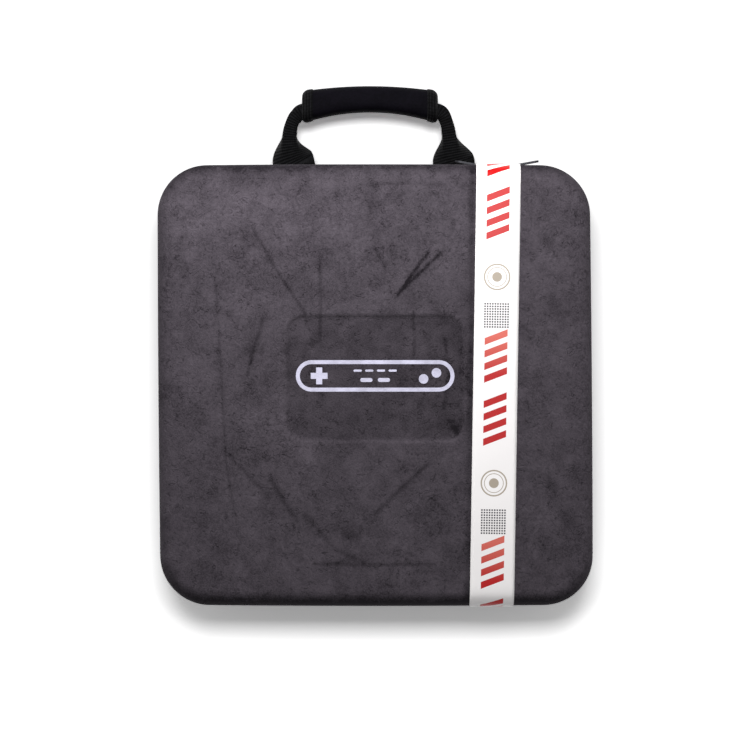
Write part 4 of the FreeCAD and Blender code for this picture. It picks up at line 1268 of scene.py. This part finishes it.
def inflate(obj, held, pressure, frames, cap):
    """Swells a closed cloth with pinned ends by simulation, and keeps each point near its start."""
    group = obj.vertex_groups.new(name="held")
    group.add(held, 1.0, "REPLACE")
    rest = np.empty(len(obj.data.vertices) * 3)
    obj.data.vertices.foreach_get("co", rest)
    rest = rest.reshape(-1, 3)
    cloth = obj.modifiers.new("cloth", "CLOTH")
    cloth.settings.quality = 6
    cloth.settings.mass = 0.2
    cloth.settings.tension_stiffness = 30
    cloth.settings.compression_stiffness = 30
    cloth.settings.bending_stiffness = 2
    cloth.settings.use_pressure = True
    cloth.settings.uniform_pressure_force = pressure
    cloth.settings.vertex_group_mass = "held"
    cloth.settings.effector_weights.gravity = 0
    cloth.collision_settings.use_collision = False
    cloth.point_cache.frame_start = 1
    cloth.point_cache.frame_end = frames
    scene = bpy.context.scene
    for frame_number in range(1, frames + 1):
        scene.frame_set(frame_number)
    graph = bpy.context.evaluated_depsgraph_get()
    shaped = bpy.data.meshes.new_from_object(obj.evaluated_get(graph))
    now = np.empty(len(shaped.vertices) * 3)
    shaped.vertices.foreach_get("co", now)
    move = now.reshape(-1, 3) - rest
    far = np.linalg.norm(move, axis=1)
    move *= np.minimum(1, cap / np.maximum(far, 1e-9))[:, None]
    obj.modifiers.clear()
    obj.vertex_groups.clear()
    obj.data.vertices.foreach_set("co", (rest + move).ravel())
    obj.data.update()
    bpy.data.meshes.remove(shaped)
    scene.frame_set(1)


class BAG_OT_handle(bpy.types.Operator):
    """Make the webbing handle with its padded grip"""

    bl_idname = "bag.handle"
    bl_label = "Handle"

    def execute(self, context):
        legs = joined("handle_strap", [strap_mesh(-1), strap_mesh(1)])
        legs.data.shade_smooth()
        legs.data.materials.append(finish_of("webbing"))
        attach(legs, "base")
        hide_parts("handle_webbing")
        half = grip_frame()[1]
        rows, around = 72, 44
        tube = bar_tube(-SLEEVE_SHARE, SLEEVE_SHARE, rows, around, SLEEVE_GROW)
        grip = to_object("handle_sleeve", tube)
        ends = [v for v in range(rows * around) if v // around < 5 or v // around >= rows - 5]
        inflate(grip, ends, 4.0, 20, 0.9 * MM)
        grip.data.materials.append(finish_of("neoprene"))
        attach(grip, "base")
        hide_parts("handle_grip")
        cuff = CUFF_LENGTH / half
        for name, span, wave in (
            ("left", (-1.0, cuff - 1.0), self.cuff_end),
            ("right", (1.0 - cuff, 1.0), lambda share: self.cuff_end(1 - share)),
        ):
            ring = bar_tube(*span, 61, around, CUFF_GROW, wave=wave)
            obj = to_object("cuff_" + name, ring)
            obj.data.materials.append(finish_of("cuff"))
            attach(obj, "base")
            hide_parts("grip_binding_" + name)
        for node, kind in (
            ("anchor_plate_left", "plastic"),
            ("anchor_plate_right", "plastic"),
            ("anchor_rivets", "metal"),
        ):
            piece = bpy.data.objects[node]
            piece.data.materials.clear()
            piece.data.materials.append(finish_of(kind))
        return {"FINISHED"}

    def cuff_end(self, share):
        """How far a cuff draws in: rounded at its outer end, stepped down to the sleeve at the other."""
        off = CUFF_ROUND - share * CUFF_LENGTH
        round_end = CUFF_ROUND - math.sqrt(max(CUFF_ROUND**2 - off**2, 0.0)) if off > 0 else 0.0
        step_in = 0.45 * (1 - smoothstep((1 - share) / 0.08))
        return -0.9 * round_end - step_in


# Band and panel figure: the band's tilt, and lengths in millimetres
BAND_TILT = math.radians(0.9)
BAND_LIFT, FILM_OUT, FILM_IN = 0.55, 0.45, -0.05
BEND_REACH, BEND_DROP = 18, 16


class BAG_OT_band(bpy.types.Operator):
    """Lay the printed band over the lid"""

    bl_idname = "bag.band"
    bl_label = "Printed band"

    def execute(self, context):
        trim = context.scene.bag_trim
        lid = bpy.data.objects["lid_velour"]
        graph = context.evaluated_depsgraph_get()
        tree = BVHTree.FromObject(lid, graph)
        low, high = box_mm("front_band")
        half_h = half_sizes()[1]
        top = high[2]
        lean, slant = math.cos(BAND_TILT), math.sin(BAND_TILT)
        middle = trim.band_shift / MM
        half = trim.band_width / MM / 2
        across = np.linspace(-half, half, 15)
        turn_y = half_h - BEND_REACH
        side = [(half_h, z) for z in np.linspace(low[2], top - 14, 8)]
        for angle in np.linspace(0, math.pi / 2, 12)[1:-1]:
            reach, rise = BEND_REACH * math.cos(angle), BEND_DROP * math.sin(angle)
            side.append((turn_y + reach, top - BEND_DROP + rise))
        level = [(y, top) for y in np.linspace(turn_y, -turn_y, 90)]
        route = side + level + [(-y, z) for y, z in reversed(side)]
        points = []
        for y, z in route:
            for a in across:
                seed = (middle + a * lean + y * slant, y - a * slant, z)
                spot, normal = tree.find_nearest(Vector([v * MM for v in seed]))[:2]
                points.append(tuple((spot + normal * BAND_LIFT * MM) / MM))
        grid = np.array(points).reshape(len(route), len(across), 3)
        for _ in range(6):
            grid[1:-1] = 0.5 * grid[1:-1] + 0.25 * (grid[:-2] + grid[2:])
        lift = self.normals(grid)
        steps = np.linalg.norm(np.diff(grid[:, len(across) // 2], axis=0), axis=1)
        run = np.concatenate([[0], np.cumsum(steps)])
        run = run[-1] / 2 - run
        outer = (grid + FILM_OUT * lift).reshape(-1, 3)
        inner = (grid + FILM_IN * lift).reshape(-1, 3)
        # The back and edges take a place in the map that has no print
        mesh = strip_mesh(outer, inner, run, across, blank=(19.0, 200.0))
        obj = to_object("front_film", mesh)
        obj.data.materials.append(finish_of("film"))
        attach(obj, "lid")
        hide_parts("front_band")
        return {"FINISHED"}

    def normals(self, grid):
        """The outward direction at each point of the strip."""
        down = np.gradient(grid, axis=0)
        side = np.gradient(grid, axis=1)
        out = np.cross(side, down)
        out /= np.linalg.norm(out, axis=2)[..., None]
        if out[len(out) // 2, 0, 2] < 0:
            out = -out
        return out


def paired(outer, inner, step=1.5):
    """Two loops of equal length, both divided in the same way."""
    first, second = [], []
    count = len(outer)
    for k in range(count):
        (x0, y0), (x1, y1) = outer[k], outer[(k + 1) % count]
        (u0, v0), (u1, v1) = inner[k], inner[(k + 1) % count]
        parts = max(1, int(math.hypot(x1 - x0, y1 - y0) / step))
        for n in range(parts):
            share = n / parts
            first.append((x0 + (x1 - x0) * share, y0 + (y1 - y0) * share))
            second.append((u0 + (u1 - u0) * share, v0 + (v1 - v0) * share))
    return first, second


def rounded_loop(half_w, half_h, radius, across=0.0, up=0.0, steps=8):
    """A loop of points around a rounded rectangle."""
    loop = []
    for corner, (sx, sy) in enumerate(((1, -1), (1, 1), (-1, 1), (-1, -1))):
        for share in range(steps + 1):
            angle = math.radians(-90 + 90 * corner + 90 * share / steps)
            loop.append(
                (
                    across + sx * (half_w - radius) + radius * math.cos(angle),
                    up + sy * (half_h - radius) + radius * math.sin(angle),
                )
            )
    return loop


class BAG_OT_figure(bpy.types.Operator):
    """Press the foil figure into the panel"""

    bl_idname = "bag.figure"
    bl_label = "Foil figure"

    def execute(self, context):
        form = context.scene.bag_form
        up = form.panel_rise / MM + 2.0
        shapes = [(rounded_loop(68, 13.5, 13.4, 0, up), rounded_loop(64.6, 10.1, 10.0, 0, up))]
        arm, reach = 2.6, 7.2
        cross = [
            (-arm, -reach), (arm, -reach), (arm, -arm), (reach, -arm), (reach, arm), (arm, arm),
            (arm, reach), (-arm, reach), (-arm, arm), (-reach, arm), (-reach, -arm), (-arm, -arm),
        ]
        shapes.append(([(x - 48, y + up) for x, y in cross], None))
        for half_w, half_h, radius, spots in (
            (4.1, 4.1, 4.05, ((41.5, -2.6), (52.5, 2.6))),
            (5.2, 1.7, 1.65, ((-7.5, -3.5), (7.5, -3.5))),
            (3.5, 0.9, 0.85, ((-15, 4.5), (-5, 4.5), (5, 4.5), (15, 4.5))),
        ):
            for x, y in spots:
                shapes.append((rounded_loop(half_w, half_h, radius, x, up + y), None))
        lid = bpy.data.objects["lid_velour"]
        tree = BVHTree.FromObject(lid, context.evaluated_depsgraph_get())
        meshes = [self.plate(outer, inner, tree) for outer, inner in shapes]
        obj = joined("foil_figure", meshes)
        obj.data.materials.append(finish_of("foil"))
        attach(obj, "lid")
        return {"FINISHED"}

    def plate(self, outer, inner, tree):
        """A thin plate of foil that follows the panel's floor, as a ring where it has an inner loop."""
        form = bmesh.new()
        first, second = paired(outer, inner or outer)
        count = len(first)
        loops = first + second if inner else first
        corners = [form.verts.new((x * MM, y * MM, 0)) for x, y in loops]
        if inner:
            for k in range(count):
                m = (k + 1) % count
                form.faces.new((corners[k], corners[m], corners[m + count], corners[k + count]))
        else:
            form.faces.new(corners)
        raised = bmesh.ops.extrude_face_region(form, geom=form.faces[:])
        upper = {v for v in raised["geom"] if isinstance(v, bmesh.types.BMVert)}
        for vert in form.verts:
            hit = tree.ray_cast(Vector((vert.co.x, vert.co.y, 0.2)), Vector((0, 0, -1)))[0]
            vert.co.z = hit.z + (0.22 if vert in upper else -0.4) * MM
        bmesh.ops.recalc_face_normals(form, faces=form.faces)
        mesh = bpy.data.meshes.new("plate")
        form.to_mesh(mesh)
        form.free()
        return mesh


# Trays
class BAG_OT_trays(bpy.types.Operator):
    """Dress the foam trays"""

    bl_idname = "bag.trays"
    bl_label = "Foam trays"

    def execute(self, context):
        for node, name, body in (
            ("console_tray", "console_foam", "base"), ("controller_tray", "controller_foam", "lid")
        ):
            source = bpy.data.objects[node]
            mesh = source.data.copy()
            mesh.transform(source.matrix_world)
            form = bmesh.new()
            form.from_mesh(mesh)
            bmesh.ops.remove_doubles(form, verts=form.verts, dist=0.02 * MM)
            bmesh.ops.dissolve_limit(
                form, angle_limit=math.radians(2), verts=form.verts[:], edges=form.edges[:]
            )
            sharp = [e for e in form.edges if e.is_manifold and e.calc_face_angle() > math.radians(50)]
            bmesh.ops.bevel(
                form, geom=sharp, offset=2.2 * MM, offset_type="OFFSET", segments=3, profile=0.5,
                affect="EDGES", clamp_overlap=True,
            )
            form.to_mesh(mesh)
            form.free()
            mesh.materials.clear()
            mesh.materials.append(finish_of("foam"))
            obj = to_object(name, mesh)
            mesh.shade_smooth()
            mesh.set_sharp_from_angle(angle=math.radians(40))
            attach(obj, body)
            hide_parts(node)
        return {"FINISHED"}


# Stage
def light(name, energy, size, place, aim, tint="#ffffff", size_y=None):
    """An area light turned to a point."""
    data = bpy.data.lights.new(name, "AREA")
    data.energy = energy
    data.shape = "RECTANGLE"
    data.size = size
    data.size_y = size_y or size
    data.color = linear(tint)
    lamp = bpy.data.objects.new(name, data)
    lamp.location = place
    lamp.visible_camera = False
    lamp.rotation_euler = (Vector(aim) - Vector(place)).to_track_quat("-Z", "Y").to_euler()
    bpy.context.scene.collection.objects.link(lamp)
    return lamp


class BAG_OT_stage(bpy.types.Operator):
    """Set the floor, the lights and the camera"""

    bl_idname = "bag.stage"
    bl_label = "Stage"

    def execute(self, context):
        scene = context.scene
        far = 3000
        corners = ((-far, -far, 0), (far, -far, 0), (far, far, 0), (-far, far, 0))
        floor = to_object("floor", mesh_of(corners, [(0, 1, 2, 3)]))
        floor.location.z = -0.4 * MM
        paper = bpy.data.materials.new("white_paper_floor")
        paper.use_nodes = True
        paper.node_tree.nodes.remove(paper.node_tree.nodes["Principled BSDF"])
        node = partial(add, paper.node_tree)
        matt = node("ShaderNodeBsdfDiffuse", {"Color": linear("#dedede")})
        white = node("ShaderNodeBsdfDiffuse", {"Color": (2.6, 2.6, 2.6)})
        clear = node("ShaderNodeEmission", {"Color": (1, 1, 1), "Strength": 1.0})
        place = node("ShaderNodeTexCoord", out="Object")
        away = node("ShaderNodeVectorMath", {0: place}, out="Value", operation="LENGTH")
        fade = node(RANGE, {"Value": away, "From Min": 0.5, "From Max": 1.1})
        backdrop = node("ShaderNodeMixShader", {0: fade, 1: white, 2: clear})
        seen = node("ShaderNodeMixShader", {0: self.shown(node), 1: matt, 2: backdrop})
        fill(paper.node_tree.nodes["Material Output"], {"Surface": seen})
        floor.data.materials.append(paper)
        floor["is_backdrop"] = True
        world = bpy.data.worlds.new("studio")
        world.use_nodes = True
        node = partial(add, world.node_tree)
        dim = world.node_tree.nodes["Background"]
        fill(dim, {"Color": (1, 1, 1), "Strength": 0.22})
        clear = node("ShaderNodeBackground", {"Color": (1, 1, 1), "Strength": 1.0})
        seen = node("ShaderNodeMixShader", {0: self.shown(node), 1: dim.outputs[0], 2: clear})
        fill(world.node_tree.nodes["World Output"], {"Surface": seen})
        scene.world = world
        wash = light("wash", 3.9, 0.5, (-0.06, 0.43, 0.42), (0, 0.0, 0.13), size_y=0.12)
        wash.data.use_shadow = False
        wash.visible_glossy = False
        lit = bpy.data.collections.new("lit_by_wash")
        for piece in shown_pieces():
            lit.objects.link(piece)
        wash.light_linking.receiver_collection = lit
        key = light("key", 15, 0.5, (-0.03, 0.41, 2.2), (0, 0.02, 0.05), size_y=0.36)
        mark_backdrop(wash, key)
        data = bpy.data.cameras.new("camera")
        data.lens = 123.6
        data.sensor_width = 36
        camera = bpy.data.objects.new("camera", data)
        camera.location = (-0.001, 0.0096, 2.33)
        scene.collection.objects.link(camera)
        scene.camera = camera
        camera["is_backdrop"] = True
        scene.view_settings.view_transform = "Standard"
        return {"FINISHED"}

    def shown(self, node):
        """One for the rays that show the backdrop: seen by the camera, in gloss or through film."""
        rays = node("ShaderNodeLightPath").node.outputs
        shown = node(MATH, {0: rays["Is Camera Ray"], 1: rays["Is Glossy Ray"]}, operation="MAXIMUM")
        return node(MATH, {0: shown, 1: rays["Is Transmission Ray"]}, operation="MAXIMUM")


class BAG_PT_panel(bpy.types.Panel):
    """Sizes, colours and steps of the bag"""

    bl_idname = "BAG_PT_panel"
    bl_label = "Carrying bag"
    bl_space_type = "VIEW_3D"
    bl_region_type = "UI"
    bl_category = "Bag"

    def draw(self, context):
        layout = self.layout
        scene = context.scene
        for name in GROUPS:
            group = getattr(scene, name)
            box = layout.box()
            for key in group.__annotations__:
                box.prop(group, key)
        for step in STEPS:
            layout.operator(step.bl_idname)


GROUPS = {"bag_form": BagForm, "bag_trim": BagTrim, "bag_handle": BagHandle, "bag_colours": BagColours}
STEPS = (
    BAG_OT_halves, BAG_OT_zip, BAG_OT_hinge, BAG_OT_handle, BAG_OT_band, BAG_OT_figure, BAG_OT_trays,
    BAG_OT_stage,
)
CLASSES = (*GROUPS.values(), *STEPS, BAG_PT_panel)


def register():
    """Registers the classes and the scene's settings."""
    for item in CLASSES:
        bpy.utils.register_class(item)
    for name, group in GROUPS.items():
        setattr(bpy.types.Scene, name, PointerProperty(type=group))


def unregister():
    """Takes the settings and classes away again."""
    for name in reversed(GROUPS):
        delattr(bpy.types.Scene, name)
    for item in reversed(CLASSES):
        bpy.utils.unregister_class(item)


def main():
    """Dresses the bag step by step."""
    register()
    bpy.ops.bag.halves()
    bpy.ops.bag.zip()
    bpy.ops.bag.hinge()
    bpy.ops.bag.handle()
    bpy.ops.bag.band()
    bpy.ops.bag.figure()
    bpy.ops.bag.trays()
    bpy.ops.bag.stage()
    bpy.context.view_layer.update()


if __name__ == "__main__":
    main()
